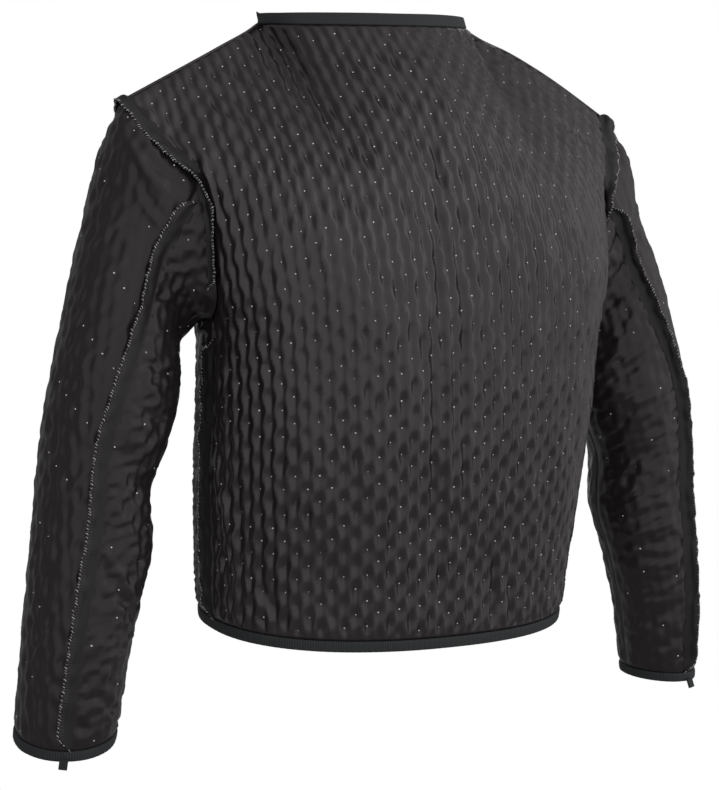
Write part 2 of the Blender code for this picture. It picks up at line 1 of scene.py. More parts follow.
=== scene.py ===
# %% [markdown]
# # The quilted liner of a motorcycle jacket
#
# A riding jacket often has a warm liner that zips out. This one is black satin, tacked point by
# point to wadding, with bound edges and with its overlocked seam allowances left on the outside.
# The lesson starts from the plain walls of the CAD model and ends with cloth that looks sewn.

# %% Load the frame
import math

import bmesh
import bpy
import numpy as np
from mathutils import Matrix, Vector
from mathutils.kdtree import KDTree


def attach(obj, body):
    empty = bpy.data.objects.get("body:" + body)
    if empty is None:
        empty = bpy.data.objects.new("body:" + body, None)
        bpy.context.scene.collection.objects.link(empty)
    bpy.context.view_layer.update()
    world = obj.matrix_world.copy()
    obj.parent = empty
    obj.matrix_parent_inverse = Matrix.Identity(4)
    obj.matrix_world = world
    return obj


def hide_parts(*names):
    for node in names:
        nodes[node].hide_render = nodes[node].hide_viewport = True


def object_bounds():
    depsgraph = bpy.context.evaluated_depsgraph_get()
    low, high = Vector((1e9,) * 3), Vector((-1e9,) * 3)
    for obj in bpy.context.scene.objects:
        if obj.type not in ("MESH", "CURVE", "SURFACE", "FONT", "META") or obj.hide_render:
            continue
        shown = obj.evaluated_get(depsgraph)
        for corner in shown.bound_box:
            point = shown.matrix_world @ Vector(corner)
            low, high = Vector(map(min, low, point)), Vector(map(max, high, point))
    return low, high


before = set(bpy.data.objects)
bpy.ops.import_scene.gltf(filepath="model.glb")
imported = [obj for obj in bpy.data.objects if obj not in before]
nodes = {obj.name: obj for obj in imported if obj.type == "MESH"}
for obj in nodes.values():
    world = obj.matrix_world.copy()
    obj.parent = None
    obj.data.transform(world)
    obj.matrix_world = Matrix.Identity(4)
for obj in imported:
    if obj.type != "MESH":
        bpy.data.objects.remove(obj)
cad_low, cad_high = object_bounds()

print("pieces in the frame:", len(nodes))

# %% [markdown]
# ## The view
#
# The liner stands filled out with nobody in it, and it is looked at from behind, a little to the
# wearer's left, from the height of its middle. A long lens keeps the sleeves and the hem from
# stretching towards the edges. The camera is tilted down a little instead of being shifted, so
# that the other views of the object stay centred.

# %% Camera
VIEW_TURN = 31.48        # degrees from straight behind, towards the wearer's left
VIEW_TILT = 3.62         # degrees downward
CAMERA_SIDE = 32.0       # degrees round the liner, from straight behind, to the camera
CAMERA_DISTANCE = 2.2
CAMERA_HEIGHT = -0.230
LENS = 100.35            # millimetres, on a sensor whose long side is 36

side = math.radians(CAMERA_SIDE)
to_camera = Vector((math.sin(side), math.cos(side), 0.0))
camera_data = bpy.data.cameras.new("studio_camera")
camera_data.lens = LENS
camera_data.clip_end = 60.0
camera = bpy.data.objects.new("studio_camera", camera_data)
bpy.context.scene.collection.objects.link(camera)
camera.location = to_camera * CAMERA_DISTANCE + Vector((0.0, 0.0, CAMERA_HEIGHT))
camera.rotation_euler = (math.radians(90.0 - VIEW_TILT), 0.0, math.radians(180.0 - VIEW_TURN))
bpy.context.scene.camera = camera
print("camera at", [round(value, 3) for value in camera.location])

# %% [markdown]
# ## Node helper and colours
#
# Every finish below is a small node tree, so one function adds a node, sets its values and links
# what comes into it. Colours are written as the sRGB hex values a painter would pick, and one
# function turns them to the linear numbers that shaders use. Every finish here shades between
# two tones by some pattern, and the cloths are raised by the same pattern, so one function does
# both.

# %% Helpers for materials
def linear(hex_colour, alpha=1.0):
    """An sRGB hex colour as the linear values a shader reads."""
    channels = [int(hex_colour[index:index + 2], 16) / 255 for index in (1, 3, 5)]
    return tuple(value / 12.92 if value <= 0.04045 else ((value + 0.055) / 1.055) ** 2.4
                 for value in channels) + (alpha,)


def add_node(tree, kind, inputs=None, **settings):
    """A new node with its settings. An input is a value, or an output socket to link."""
    made = tree.nodes.new(kind)
    for name, value in settings.items():
        setattr(made, name, value)
    for name, value in (inputs or {}).items():
        socket = made.inputs[name]
        if isinstance(value, bpy.types.NodeSocket):
            tree.links.new(value, socket)
        else:
            socket.default_value = value
    return made


def new_material(name, roughness, specular=0.5):
    """A material with a plain finish, with its node tree and its shader."""
    made = bpy.data.materials.new(name)
    made.use_nodes = True
    shader = made.node_tree.nodes["Principled BSDF"]
    shader.inputs["Roughness"].default_value = roughness
    shader.inputs["Specular IOR Level"].default_value = specular
    return made, made.node_tree, shader


def two_tones(tree, shader, pattern, dark, light, strength=0.0, depth=0.0):
    """Colours a finish from dark to light by a pattern, and raises it by the same pattern."""
    tone = add_node(tree, "ShaderNodeValToRGB", {"Fac": pattern})
    tone.color_ramp.elements[0].color = linear(dark)
    tone.color_ramp.elements[1].color = linear(light)
    tree.links.new(tone.outputs["Color"], shader.inputs["Base Color"])
    if strength:
        bump = add_node(tree, "ShaderNodeBump", {"Height": pattern, "Strength": strength,
                                                 "Distance": depth})
        tree.links.new(bump.outputs["Normal"], shader.inputs["Normal"])


print("charcoal as linear values:", [round(value, 4) for value in linear("#231f20")])

# %% [markdown]
# ## Studio
#
# The cloth is dark and has a soft sheen, so its shape is drawn by what it mirrors. A wide bright
# wall stands in front of it and to the camera's right, and the rest of the room is dim. The room
# and the floor look white to the camera alone, as a backdrop does that has lamps of its own. The
# floor is well below, because nothing holds the liner up but the air inside it.

# %% Floor and room
FLOOR_DROP = 0.45
FLOOR_SIZE = 3.0
ROOM_DIM = 0.30           # what the room's far side gives the cloth, where white is 1
ROOM_BRIGHT = 1.08        # and what the wall in front of it and to the right gives
BRIGHT_TURN = 45.0        # turn and rise of the middle of that wall, in degrees
BRIGHT_RISE = 2.0
BRIGHT_EDGE = (-0.15, 0.55)   # cosines of the angles from its middle where it starts and is full
PAPER_GLOW = 0.80
view_right = Vector((-to_camera.y, to_camera.x, 0.0))


def turned(turn, rise):
    """The direction turned to the camera's right and raised by degrees, seen from the liner."""
    level = to_camera * math.cos(math.radians(turn)) + view_right * math.sin(math.radians(turn))
    return level * math.cos(math.radians(rise)) + Vector((0.0, 0.0, math.sin(math.radians(rise))))


bpy.ops.object.select_all(action="DESELECT")
bpy.ops.mesh.primitive_plane_add(size=FLOOR_SIZE, location=(0.0, 0.0, cad_low.z - FLOOR_DROP))
floor = bpy.context.object
floor.name = "studio_floor"
paper, tree, shader = new_material("matt_white_paper", 0.9)
grain = add_node(tree, "ShaderNodeTexNoise", {"Scale": 3.0, "Detail": 3.0})
two_tones(tree, shader, grain.outputs["Fac"], "#a9a9a9", "#b4b4b4")
seen = add_node(tree, "ShaderNodeLightPath")
lit = add_node(tree, "ShaderNodeMath", {0: seen.outputs["Is Camera Ray"], 1: PAPER_GLOW},
               operation="MULTIPLY")
shader.inputs["Emission Color"].default_value = linear("#ffffff")
tree.links.new(lit.outputs["Value"], shader.inputs["Emission Strength"])
floor.data.materials.append(paper)

world = bpy.data.worlds.new("white_room")
bpy.context.scene.world = world
world.use_nodes = True
tree = world.node_tree
seen = add_node(tree, "ShaderNodeLightPath")
way = add_node(tree, "ShaderNodeTexCoord")
ahead = add_node(tree, "ShaderNodeVectorMath",
                 {0: way.outputs["Generated"], 1: turned(BRIGHT_TURN, BRIGHT_RISE)},
                 operation="DOT_PRODUCT")
room = add_node(tree, "ShaderNodeMapRange",
                {"Value": ahead.outputs["Value"], "From Min": BRIGHT_EDGE[0],
                 "From Max": BRIGHT_EDGE[1], "To Min": ROOM_DIM, "To Max": ROOM_BRIGHT})
glow = add_node(tree, "ShaderNodeMapRange", {"Value": seen.outputs["Is Camera Ray"],
                                             "To Min": room.outputs["Result"], "To Max": 1.0})
tree.links.new(glow.outputs["Result"], tree.nodes["Background"].inputs["Strength"])
tree.nodes["Background"].inputs["Color"].default_value = linear("#ffffff")
bpy.context.scene.view_settings.view_transform = "Standard"
print("light of the room: from", ROOM_DIM, "to", ROOM_BRIGHT)

# %% [markdown]
# ## Soft lights
#
# Two large soft lights, one far to the right and a weak one to the left, put an edge on the
# sleeves. A third stands on the far side, for a look at the liner's front. The camera doesn't see
# the lights themselves.

# %% Lights
LIGHT_DISTANCE = 3.0
middle = (cad_low + cad_high) / 2


def soft_light(name, turn, rise, width, tall, power):
    """A large light, turned to the camera's right and raised by degrees."""
    data = bpy.data.lights.new(name, "AREA")
    data.shape = "RECTANGLE"
    data.size = width
    data.size_y = tall
    data.energy = power
    light = bpy.data.objects.new(name, data)
    bpy.context.scene.collection.objects.link(light)
    way = turned(turn, rise)
    light.location = middle + way * LIGHT_DISTANCE
    light.rotation_euler = (-way).to_track_quat("-Z", "Y").to_euler()
    light.visible_camera = False
    return light


LIGHTS = (
    # name, turn from the camera, rise, width, height, watts
    ("right_softbox", 82.0, 28.0, 1.8, 2.4, 8.0),
    ("left_softbox", -40.0, 6.0, 1.4, 2.0, 3.0),
    ("front_softbox", 180.0, 14.0, 2.4, 2.4, 14.0),
)
for row in LIGHTS:
    soft_light(*row)
print("lights:", len(LIGHTS))

# %% [markdown]
# ## From a CAD wall to a grid of points
#
# Each cloth piece of the CAD model is a closed wall of loose triangles about the middle of the
# cloth. A pattern cutter would want the flat piece back. So a copy is merged, and the thin rim
# between its two faces is deleted. That leaves the outer face and the lining face as islands. The
# CAD mesh itself is never touched.

# %% The two faces of a wall
MERGE = 0.00001
CLOTH_WALL = 0.0030
ALLOWANCE_WALL = 0.0018


def faces_of_wall(name, thickness):
    """The two faces of a wall, each as a list of triangles, and the merged points."""
    work = bmesh.new()
    work.from_mesh(nodes[name].data)
    bmesh.ops.remove_doubles(work, verts=work.verts[:], dist=MERGE)
    rim = [face for face in work.faces
           if min(edge.calc_length() for edge in face.edges) < thickness * 1.2]
    bmesh.ops.delete(work, geom=rim, context="FACES")
    work.verts.index_update()
    points = np.array([vertex.co[:] for vertex in work.verts])
    left = set(work.faces)
    islands = []
    while left:
        queue = [left.pop()]
        found = []
        while queue:
            face = queue.pop()
            found.append(tuple(vertex.index for vertex in face.verts))
            for edge in face.edges:
                for other in edge.link_faces:
                    if other in left:
                        left.remove(other)
                        queue.append(other)
        islands.append(found)
    work.free()
    return islands, points


def looks_out(triangles, points):
    """How much a face of a wall looks away from the wall's own middle."""
    corners = points[np.array(triangles)]
    normal = np.cross(corners[:, 1] - corners[:, 0], corners[:, 2] - corners[:, 0])
    centre = points[np.unique(triangles)].mean(axis=0)
    return float(np.einsum("ij,ij->", normal, corners.mean(axis=1) - centre))


print("faces of the back's wall:", len(faces_of_wall("back_panel", CLOTH_WALL)[0]))

# %% [markdown]
# ## Rows and columns again
#
# The outer face is walked triangle by triangle until its rows and columns are known again. The
# walk starts at a corner, and corners are where the edge of the face turns most. The points are
# then set half the wall inward, to the middle of the cloth.

# %% Walk a face to its grid
def edge_loop(triangles):
    """The points round a face in order, anticlockwise as seen from its outer side."""
    ways = {(a, b) for tri in triangles for a, b in zip(tri, tri[1:] + tri[:1])}
    onward = {a: b for a, b in ways if (b, a) not in ways}
    loop = [next(iter(onward))]
    while onward[loop[-1]] != loop[0]:
        loop.append(onward[loop[-1]])
    return loop


def wall_grid(name, rows, thickness=CLOTH_WALL):
    """Middle surface of a wall as rows of points: lowest row first, left to right from outside."""
    islands, points = faces_of_wall(name, thickness)
    triangles = max(islands, key=lambda island: looks_out(island, points))
    columns = len(np.unique(triangles)) // rows
    loop = edge_loop(triangles)
    around = points[loop]
    before = around - np.roll(around, 1, axis=0)
    after = np.roll(around, -1, axis=0) - around
    cosine = np.einsum("ij,ij->i", before, after) / (
        np.linalg.norm(before, axis=1) * np.linalg.norm(after, axis=1))
    turning = np.arccos(np.clip(cosine, -1.0, 1.0))
    offsets = np.array([0, columns - 1, columns + rows - 2, 2 * columns + rows - 3])

    def corner_score(start):
        bottom = around[(start + np.arange(columns)) % len(loop), 2].mean()
        top = around[(start + columns + rows - 2 + np.arange(columns)) % len(loop), 2].mean()
        return turning[(start + offsets) % len(loop)].sum() + (top > bottom)

    start = max(range(len(loop)), key=corner_score)
    loop = loop[start:] + loop[:start]
    across = {}
    for tri in triangles:
        for a, b, c in (tri, tri[1:] + tri[:1], tri[2:] + tri[:2]):
            across[(a, b)] = c
    index = np.zeros((rows, columns), dtype=int)
    index[0] = loop[:columns]
    left_side = [loop[0]] + loop[:-rows:-1]
    for row in range(rows - 1):
        index[row + 1, 0] = left_side[row + 1]
        for column in range(columns - 1):
            a, b, d = index[row, column], index[row, column + 1], index[row + 1, column]
            third = across[(a, b)]
            index[row + 1, column + 1] = across[(d, b)] if third == d else third
    grid = points[index]
    return grid - surface_normals(grid) * thickness / 2


def unit(vectors):
    """Vectors set to length one."""
    return vectors / np.linalg.norm(vectors, axis=-1, keepdims=True)


def surface_normals(grid):
    """Outward direction at every point of a grid."""
    return unit(np.cross(np.gradient(grid, axis=1), np.gradient(grid, axis=0)))


PANEL_ROWS = {
    # node: rows of points from hem to shoulder, or from cuff to armhole
    "back_panel": 20, "front_left": 20, "front_right": 20,
    "sleeve_left_outer": 16, "sleeve_left_under": 16,
    "sleeve_right_outer": 16, "sleeve_right_under": 16,
}
grids = {name: wall_grid(name, rows) for name, rows in PANEL_ROWS.items()}
for name, grid in grids.items():
    print(name, "rows and columns", grid.shape[:2])

# %% [markdown]
# ## Bridging
#
# The rows of the body follow the armholes and kink a little below them. Wadded cloth is too stiff
# for such a kink and bridges it. So the inner points are averaged with those above and below
# them, while the side edges stay where the next piece is sewn on.

# %% Bridge the kinks of the body
BRIDGED = 4               # columns from a side edge to where bridging has its full effect
BRIDGING_ROUNDS = 3


def bridged(grid):
    """A grid whose inner points are averaged with those above and below them."""
    columns = np.arange(grid.shape[1])
    share = np.clip(np.minimum(columns, columns[::-1]) / BRIDGED, 0.0, 1.0)[None, :, None]
    for _ in range(BRIDGING_ROUNDS):
        soft = grid.copy()
        soft[1:-1] = (grid[:-2] + grid[1:-1] * 2 + grid[2:]) / 4
        grid = grid * (1.0 - share) + soft * share
    return grid


for name in ("back_panel", "front_left", "front_right"):
    drawn = grids[name]
    grids[name] = bridged(drawn)
    moved = np.linalg.norm(grids[name] - drawn, axis=-1)
    print(name, "moved by up to", round(float(moved.max()) * 1000, 1), "mm")

# %% [markdown]
# ## Sheets, maps and modifiers
#
# Every cloth piece is made in the same few moves: a mesh from points, a map that says where each
# point lies on the flat cloth, and modifiers that are applied. So each move has a function.

# %% Functions for sheets
def mesh_object(name, points, faces):
    """A mesh object of points and of faces that list them."""
    mesh = bpy.data.meshes.new(name)
    mesh.from_pydata(points.reshape(-1, 3).tolist(), [], faces)
    made = bpy.data.objects.new(name, mesh)
    bpy.context.scene.collection.objects.link(made)
    return made


def sheet_object(name, grid):
    """A mesh object of a grid of points, with a corner map named cloth left to fill in."""
    rows, columns = grid.shape[:2]
    index = np.arange(rows * columns).reshape(rows, columns)
    faces = np.stack([index[:-1, :-1], index[:-1, 1:], index[1:, 1:], index[1:, :-1]], axis=-1)
    made = mesh_object(name, grid, faces.reshape(-1, 4).tolist())
    made.data.uv_layers.new(name="cloth")
    return made


def corner_points(mesh):
    """The point at every face corner of a mesh."""
    points = np.zeros(len(mesh.loops), dtype=int)
    mesh.loops.foreach_get("vertex_index", points)
    return points


def write_map(mesh, flat):
    """Writes the flat place of every point of a mesh to its map."""
    values = flat.reshape(-1, 2)[corner_points(mesh)]
    mesh.uv_layers["cloth"].data.foreach_set("uv", values.ravel())


def select_only(piece):
    """Selects one object and makes it the active one."""
    bpy.ops.object.select_all(action="DESELECT")
    piece.select_set(True)
    bpy.context.view_layer.objects.active = piece


def apply_modifiers(piece):
    """Applies the modifiers of a piece in their order."""
    select_only(piece)
    for name in [modifier.name for modifier in piece.modifiers]:
        bpy.ops.object.modifier_apply(modifier=name)


def thicken(piece, thickness, offset):
    """Gives a sheet thickness: all on its inner side at offset -1, half on each side at 0."""
    wall = piece.modifiers.new("thickness", "SOLIDIFY")
    wall.thickness = thickness
    wall.offset = offset


# %% [markdown]
# ## The flat cut of every panel
#
# Quilting is tacked on flat cloth, before it is cut and sewn. So the tacks have to be laid out on
# the flat panel and carried to the bent one by a UV map. Unwrapping the coarse grid gives that
# map, and the least stretched way of unwrapping keeps lengths true. Here it is scaled to metres
# and turned upright, so that a distance on the map is a distance on the cloth.

# %% Unwrap to metres
UNWRAP_ROUNDS = 30


def flat_cut(name, grid):
    """The flat place of every grid point, in metres across from the middle and up from the hem."""
    piece = sheet_object(name + "_flat", grid)
    select_only(piece)
    bpy.ops.object.mode_set(mode="EDIT")
    bpy.ops.mesh.select_all(action="SELECT")
    bpy.ops.uv.unwrap(method="MINIMUM_STRETCH", iterations=UNWRAP_ROUNDS, margin=0.0)
    bpy.ops.object.mode_set(mode="OBJECT")
    mesh = piece.data
    corners = np.zeros(len(mesh.loops) * 2)
    mesh.uv_layers["cloth"].data.foreach_get("uv", corners)
    flat = np.zeros((len(mesh.vertices), 2))
    flat[corner_points(mesh)] = corners.reshape(-1, 2)
    bpy.data.objects.remove(piece, do_unlink=True)
    flat = flat.reshape(grid.shape[0], grid.shape[1], 2)
    flat *= math.sqrt(grid_area(grid) / abs(grid_area(np.dstack([flat, flat[..., :1] * 0.0]))))
    middle_column = grid.shape[1] // 2
    up = flat[-1, middle_column] - flat[0, middle_column]
    up /= np.linalg.norm(up)
    flat = (flat - flat[0, middle_column]) @ np.array([[up[1], up[0]], [-up[0], up[1]]])
    return flat


def grid_area(grid):
    """Area of a grid of points, in square metres."""
    first = np.cross(grid[:-1, 1:] - grid[:-1, :-1], grid[1:, :-1] - grid[:-1, :-1])
    second = np.cross(grid[1:, :-1] - grid[1:, 1:], grid[:-1, 1:] - grid[1:, 1:])
    return float((np.linalg.norm(first, axis=-1) + np.linalg.norm(second, axis=-1)).sum() / 2)


cuts = {name: flat_cut(name, grid) for name, grid in grids.items()}
for name, cut in cuts.items():
    size = cut.reshape(-1, 2).max(axis=0) - cut.reshape(-1, 2).min(axis=0)
    print(name, "flat size", size.round(3), "area", round(grid_area(grids[name]), 4))

# %% [markdown]
# ## Finer points on smooth curves
#
# The coarse rows are 30 mm apart and tacks are 25 mm apart, so the panels need points every few
# millimetres. A natural cubic spline through the coarse points gives them and keeps the panel's
# edges where its neighbours expect them. The same weights refine the map.

# %% Spline refinement
TABLE_SIDE = 128          # of the table of random values that wander reads
TABLE_MIDDLE = (64.37, 64.71)     # where in the table the middle of a panel falls


def spline_weights(count, steps):
    """Weights that turn count coarse values into (count - 1) * steps + 1 values on a spline."""
    bend = np.zeros((count, count))
    system = np.eye(count)
    for index in range(1, count - 1):
        system[index, index - 1:index + 2] = (1.0, 4.0, 1.0)
        bend[index, index - 1:index + 2] = (6.0, -12.0, 6.0)
    second = np.linalg.solve(system, bend)
    place = np.arange((count - 1) * steps + 1) / steps
    start = np.minimum(place.astype(int), count - 2)
    b = (place - start)[:, None]
    a = 1.0 - b
    coarse = np.eye(count)
    return (a * coarse[start] + b * coarse[start + 1]
            + ((a ** 3 - a) * second[start] + (b ** 3 - b) * second[start + 1]) / 6.0)


def refine(grid, steps_across, steps_up):
    """A grid with more points between its rows and columns."""
    up = spline_weights(grid.shape[0], steps_up)
    over = spline_weights(grid.shape[1], steps_across)
    return np.einsum("ri,ijk,cj->rck", up, grid, over)


def fade(values, start, end):
    """0 at start and before it, 1 at end and past it, and smooth between."""
    share = np.clip((values - start) / (end - start), 0.0, 1.0)
    return share * share * (3.0 - 2.0 * share)


def wander(u, v, grain_u, grain_v, seed):
    """A smooth random field from -1 to 1, with spots about grain_u wide and grain_v tall."""
    table = np.random.default_rng(seed).uniform(-1.0, 1.0, (TABLE_SIDE, TABLE_SIDE))
    x = u / grain_u + TABLE_MIDDLE[0]
    y = v / grain_v + TABLE_MIDDLE[1]
    column = np.floor(x).astype(int)
    row = np.floor(y).astype(int)
    x = fade(x - column, 0.0, 1.0)
    y = fade(y - row, 0.0, 1.0)
    left, right = column % TABLE_SIDE, (column + 1) % TABLE_SIDE
    near, far = [table[at, left] * (1 - x) + table[at, right] * x
                 for at in (row % TABLE_SIDE, (row + 1) % TABLE_SIDE)]
    return near * (1 - y) + far * y


waves = wander(np.linspace(0.0, 1.0, 1000), np.zeros(1000), 0.1, 0.1, 1)
print("a wandering line goes from", round(waves.min(), 2), "to", round(waves.max(), 2))

# %% [markdown]
# ## Quilting
#
# The satin is caught to the wadding by single tacks, 22 mm apart across and 25 mm apart up, with
# one more in the middle of each square. Between tacks the cloth stands up. It hangs, so its pull
# runs up and down: every tack lies in a long upright groove, and soft ridges wind between the
# grooves like the links of a chain. No two are quite the same, so the grooves' depth and edges
# wander a little. A sine of large steps stands in for chance, and comes out the same every time.
# The sleeves were pulled about more, and short slanting strokes cross them. Most of their tacks
# get no pale bead, so they show no painted glint.

# %% Height of the quilted cloth
TACK_ACROSS = 0.0223
TACK_UP = 0.0251
TACK_PIT = 0.0042         # reach of the dent right at a tack
WINDING = 0.31            # how much a ridge winds, as a share of its distance from the groove
GROOVE_SPREAD = 0.35      # how much grooves and ridges differ in height from one to the next
RIDGE_SPREAD = 0.50
RIPPLE_SLANT = 0.20
STRAYS_ACROSS = (
    # how far grooves stray across the cloth; over what lengths across and up it; and a seed
    (0.0012, 0.011, 0.020, 3),
    (0.0010, 0.030, 0.030, 4),
)
STRAY_UP = (0.0020, 0.018, 0.024, 5)
RIPPLE = (0.0060, 0.040, 6)           # lengths across and up, and a seed
SLANTED_RIPPLE = (0.0042, 0.018, 7)
MIDDLE_SURFACE_TO_CREST = 0.0016


def tack_offsets(u, v, lattice):
    """From each point to its nearest tack on both halves of the lattice, and which tack that is."""
    turn = math.radians(lattice["turn"])
    across = (u * math.cos(turn) + v * math.sin(turn)) / TACK_ACROSS + lattice["shift_across"]
    upward = (v * math.cos(turn) - u * math.sin(turn)) / TACK_UP + lattice["shift_up"]
    for half in (0.0, 0.5):
        column = np.round(across + half)
        row = np.round(upward + half)
        yield ((across + half - column) * TACK_ACROSS, (upward + half - row) * TACK_UP,
               column, row, half)


def quilt_height(u, v, look):
    """How far the satin stands over or under its mean level at every point."""
    soft_u = u
    for far, *grain in STRAYS_ACROSS:
        soft_u = soft_u + far * wander(u, v, *grain)
    soft_v = v + STRAY_UP[0] * wander(u, v, *STRAY_UP[1:])
    height = np.zeros_like(u)
    for across, upward, column, row, half in tack_offsets(soft_u, soft_v, look):
        strength = 1.0 + GROOVE_SPREAD * np.sin(column * 12.9 + row * 78.2 + half * 37.0)
        long_side = np.where(upward < 0, look["groove_down"], look["groove_up"])
        groove = np.exp(-(across / look["groove_width"]) ** 2 - (upward / long_side) ** 2)
        height -= look["groove_depth"] * strength * groove
        winding = TACK_ACROSS / 4 * (1.0 + WINDING * np.cos(upward / TACK_UP * 2.0 * math.pi))
        link = np.exp(-((np.abs(across) - winding) / look["ridge_width"]) ** 2)
        strength = 1.0 + RIDGE_SPREAD * np.sin(row * 5.1 + column * 3.7)
        height += 0.5 * look["ridge_height"] * link * strength
    for across, upward, column, row, half in tack_offsets(u, v, look):
        height -= look["pit_depth"] * np.exp(-(across ** 2 + upward ** 2) / TACK_PIT ** 2)
    height += look["ripple"] * wander(u, v, *RIPPLE)
    height += look["ripple"] * 0.6 * wander(u + RIPPLE_SLANT * v, v, *SLANTED_RIPPLE)
    slant = math.radians(look["stroke_slant"])
    along = v * math.cos(slant) + u * math.sin(slant)
    aside = u * math.cos(slant) - v * math.sin(slant)
    height += look["stroke_height"] * wander(aside, along, *look["stroke_grain"], 8)
    return height


# Of each panel's tacks, a share is left without the pale bead that paints a tack's glint.
SLEEVE_QUILT = {"turn": 4.0, "shift_across": 0.2, "shift_up": 0.3, "groove_width": 0.0028,
                "groove_up": 0.0080, "groove_down": 0.0110, "ridge_width": 0.0015,
                "ridge_height": 0.0004, "pit_depth": 0.0003, "ripple": 0.00020,
                "tack_glints_left_out": 0.93}
QUILT = {
    # the look of the quilting on the body and on the sleeves; lengths in metres, turns in degrees
    "body": {"turn": 4.4, "shift_across": 0.0, "shift_up": 0.0, "groove_width": 0.0023,
             "groove_up": 0.0070, "groove_down": 0.0105, "groove_depth": 0.0022,
             "ridge_width": 0.0015, "ridge_height": 0.0015, "pit_depth": 0.0006,
             "ripple": 0.00030, "stroke_slant": 8.0, "stroke_height": 0.0003,
             "stroke_grain": (0.0050, 0.0260), "tack_glints_left_out": 0.0},
    "outer": {**SLEEVE_QUILT, "groove_depth": 0.0011, "stroke_slant": 24.0,
              "stroke_height": 0.0011, "stroke_grain": (0.0050, 0.0150)},
    "under": {**SLEEVE_QUILT, "groove_depth": 0.0008, "stroke_slant": 66.0,
              "stroke_height": 0.0016, "stroke_grain": (0.0052, 0.0110)},
}


def quilt_of(name):
    """The look of the quilting on a panel."""
    return QUILT[name.split("_")[-1]] if "sleeve" in name else QUILT["body"]


print("tacks apart", TACK_ACROSS, "across and", TACK_UP, "up")

# %% [markdown]
# ## Creases
#
# Each larger crease is a soft trough, or a ridge where its height is above zero, along a line
# on the flat panel that may bow to one side. They are listed panel by panel, in millimetres.

# %% Crease tables
NARROW_ENDS = 0.45        # width of a crease at its ends, as a share of its full width
CREASES = {
    # from across, from up, to across, to up, bow, height, half width; all in mm
    "back_panel": (
        (-10, 520, -4, 10, 32, -2.6, 6),
        (2, 520, 10, 20, 32, 1.4, 4),
        (12, 500, 22, 60, 30, -1.4, 4.5),
        (22, 500, 32, 80, 28, 1, 3.6),
        (45, 85, 60, 0, 0, -2.6, 5),
        (55, 80, 70, 0, 0, 1.8, 4),
        (68, 70, 80, 0, 0, -1.6, 4),
        (-200, 68, -163, -4, 0, -2.4, 5.5),
        (-207, 36, -175, 0, 0, -1.8, 4.5),
        (-212, 60, -180, 10, 0, 1.4, 4.5),
        (-262, 180, -214, 70, 4, 3, 6),
        (-268, 150, -232, 50, 4, -2.2, 8),
        (-224, 170, -216, 20, 0, -1.4, 4),
        (-232, 520, -258, 300, 4, 3.2, 6),
        (-256, 540, -276, 360, 4, -4.5, 11),
        (-220, 266, -198, 268, 0, -1.8, 3.5),
        (-285, 550, -205, 470, 6, -1.8, 6),
        (-270, 560, -180, 500, 6, 1.6, 5),
        (-250, 572, -160, 530, 4, -1.4, 5),
        (186, 528, 246, 500, 0, -3, 4.5),
        (180, 520, 236, 494, 0, 1.6, 5),
        (215, 470, 262, 440, 0, -1.6, 5),
        (205, 330, 240, 290, 4, -1.4, 6),
        (100, 200, 130, 50, 6, -1.8, 9),
        (-166, 400, -107, 110, 10, -2, 16),
        (-126, 380, 50, 70, 10, 2.2, 18),
        (-90, 560, -70, 420, 0, -1.2, 6),
        (60, 560, 50, 420, 0, -1.2, 6),
        (-130, 560, -120, 440, 0, 1.2, 5),
    ),
    "front_left": (
        (121, 190, 150, 110, 4, 2.6, 6),
        (60, 500, 40, 300, 6, -1.8, 7),
        (110, 60, 130, 0, 0, -1.8, 5),
        (0, 100, 10, 0, 4, -1.6, 6),
    ),
    "front_right": (
        (-121, 190, -150, 110, -4, 2, 6),
        (-50, 510, -40, 320, -6, -1.8, 7),
        (-90, 70, -110, 0, 0, -1.8, 5),
        (10, 120, 0, 20, 4, -1.4, 6),
    ),
    "sleeve_left_outer": (
        (80, 560, 150, 515, 8, -2.6, 5),
        (90, 548, 152, 498, 10, 2.2, 4.5),
        (100, 530, 148, 478, 10, -2.2, 4.5),
        (110, 500, 150, 470, 6, 1.6, 4),
        (60, 470, 140, 430, 6, -1.6, 6),
        (70, 330, 120, 300, 4, -1.6, 6),
        (-60, 340, 10, 310, 6, -1.8, 7),
        (-100, 310, -50, 280, 4, -1.8, 6),
        (80, 50, 120, 20, 4, -1.6, 5),
    ),
    "sleeve_left_under": (
        (-53, 458, -34, 478, 0, -2.6, 4.5),
        (-40, 460, -14, 468, 0, 2, 4.5),
        (-43, 402, -22, 430, 2, -2.4, 4.5),
        (-46, 350, 10, 345, 4, -2.2, 5),
        (-40, 330, 20, 318, 4, 2, 5),
        (-46, 310, 10, 300, 4, -2.2, 5),
        (-40, 262, 30, 240, 4, -3, 16),
        (-46, 190, 20, 130, 4, 1.6, 4),
        (-40, 170, 20, 110, 4, -1.4, 4),
        (-40, 60, 10, 30, 4, -1.6, 5),
        (-46, 30, -20, 10, 2, -2, 4),
    ),
    "sleeve_right_outer": (
        (-150, 520, -100, 560, 8, -2, 5),
        (-150, 480, -90, 520, 8, 1.6, 5),
        (-160, 300, -120, 180, 4, -2, 6),
        (-10, 310, 60, 340, 6, -1.8, 7),
        (50, 280, 100, 300, 4, -1.8, 6),
        (-130, 50, -90, 20, 4, -1.6, 5),
    ),
    "sleeve_right_under": (
        (10, 460, 40, 480, 2, -2.4, 5),
        (-20, 400, 40, 430, 4, -2.2, 6),
        (-40, 330, 40, 350, 4, -2.4, 6),
        (-40, 300, 40, 310, 4, 2, 6),
        (-40, 175, 30, 185, 2, -1.8, 4),
        (-40, 160, 30, 168, 2, 1.6, 4),
        (-40, 145, 30, 152, 2, -1.8, 4),
        (-36, 120, 30, 126, 2, 1.4, 4),
        (-36, 60, 30, 80, 4, -1.6, 6),
    ),
}


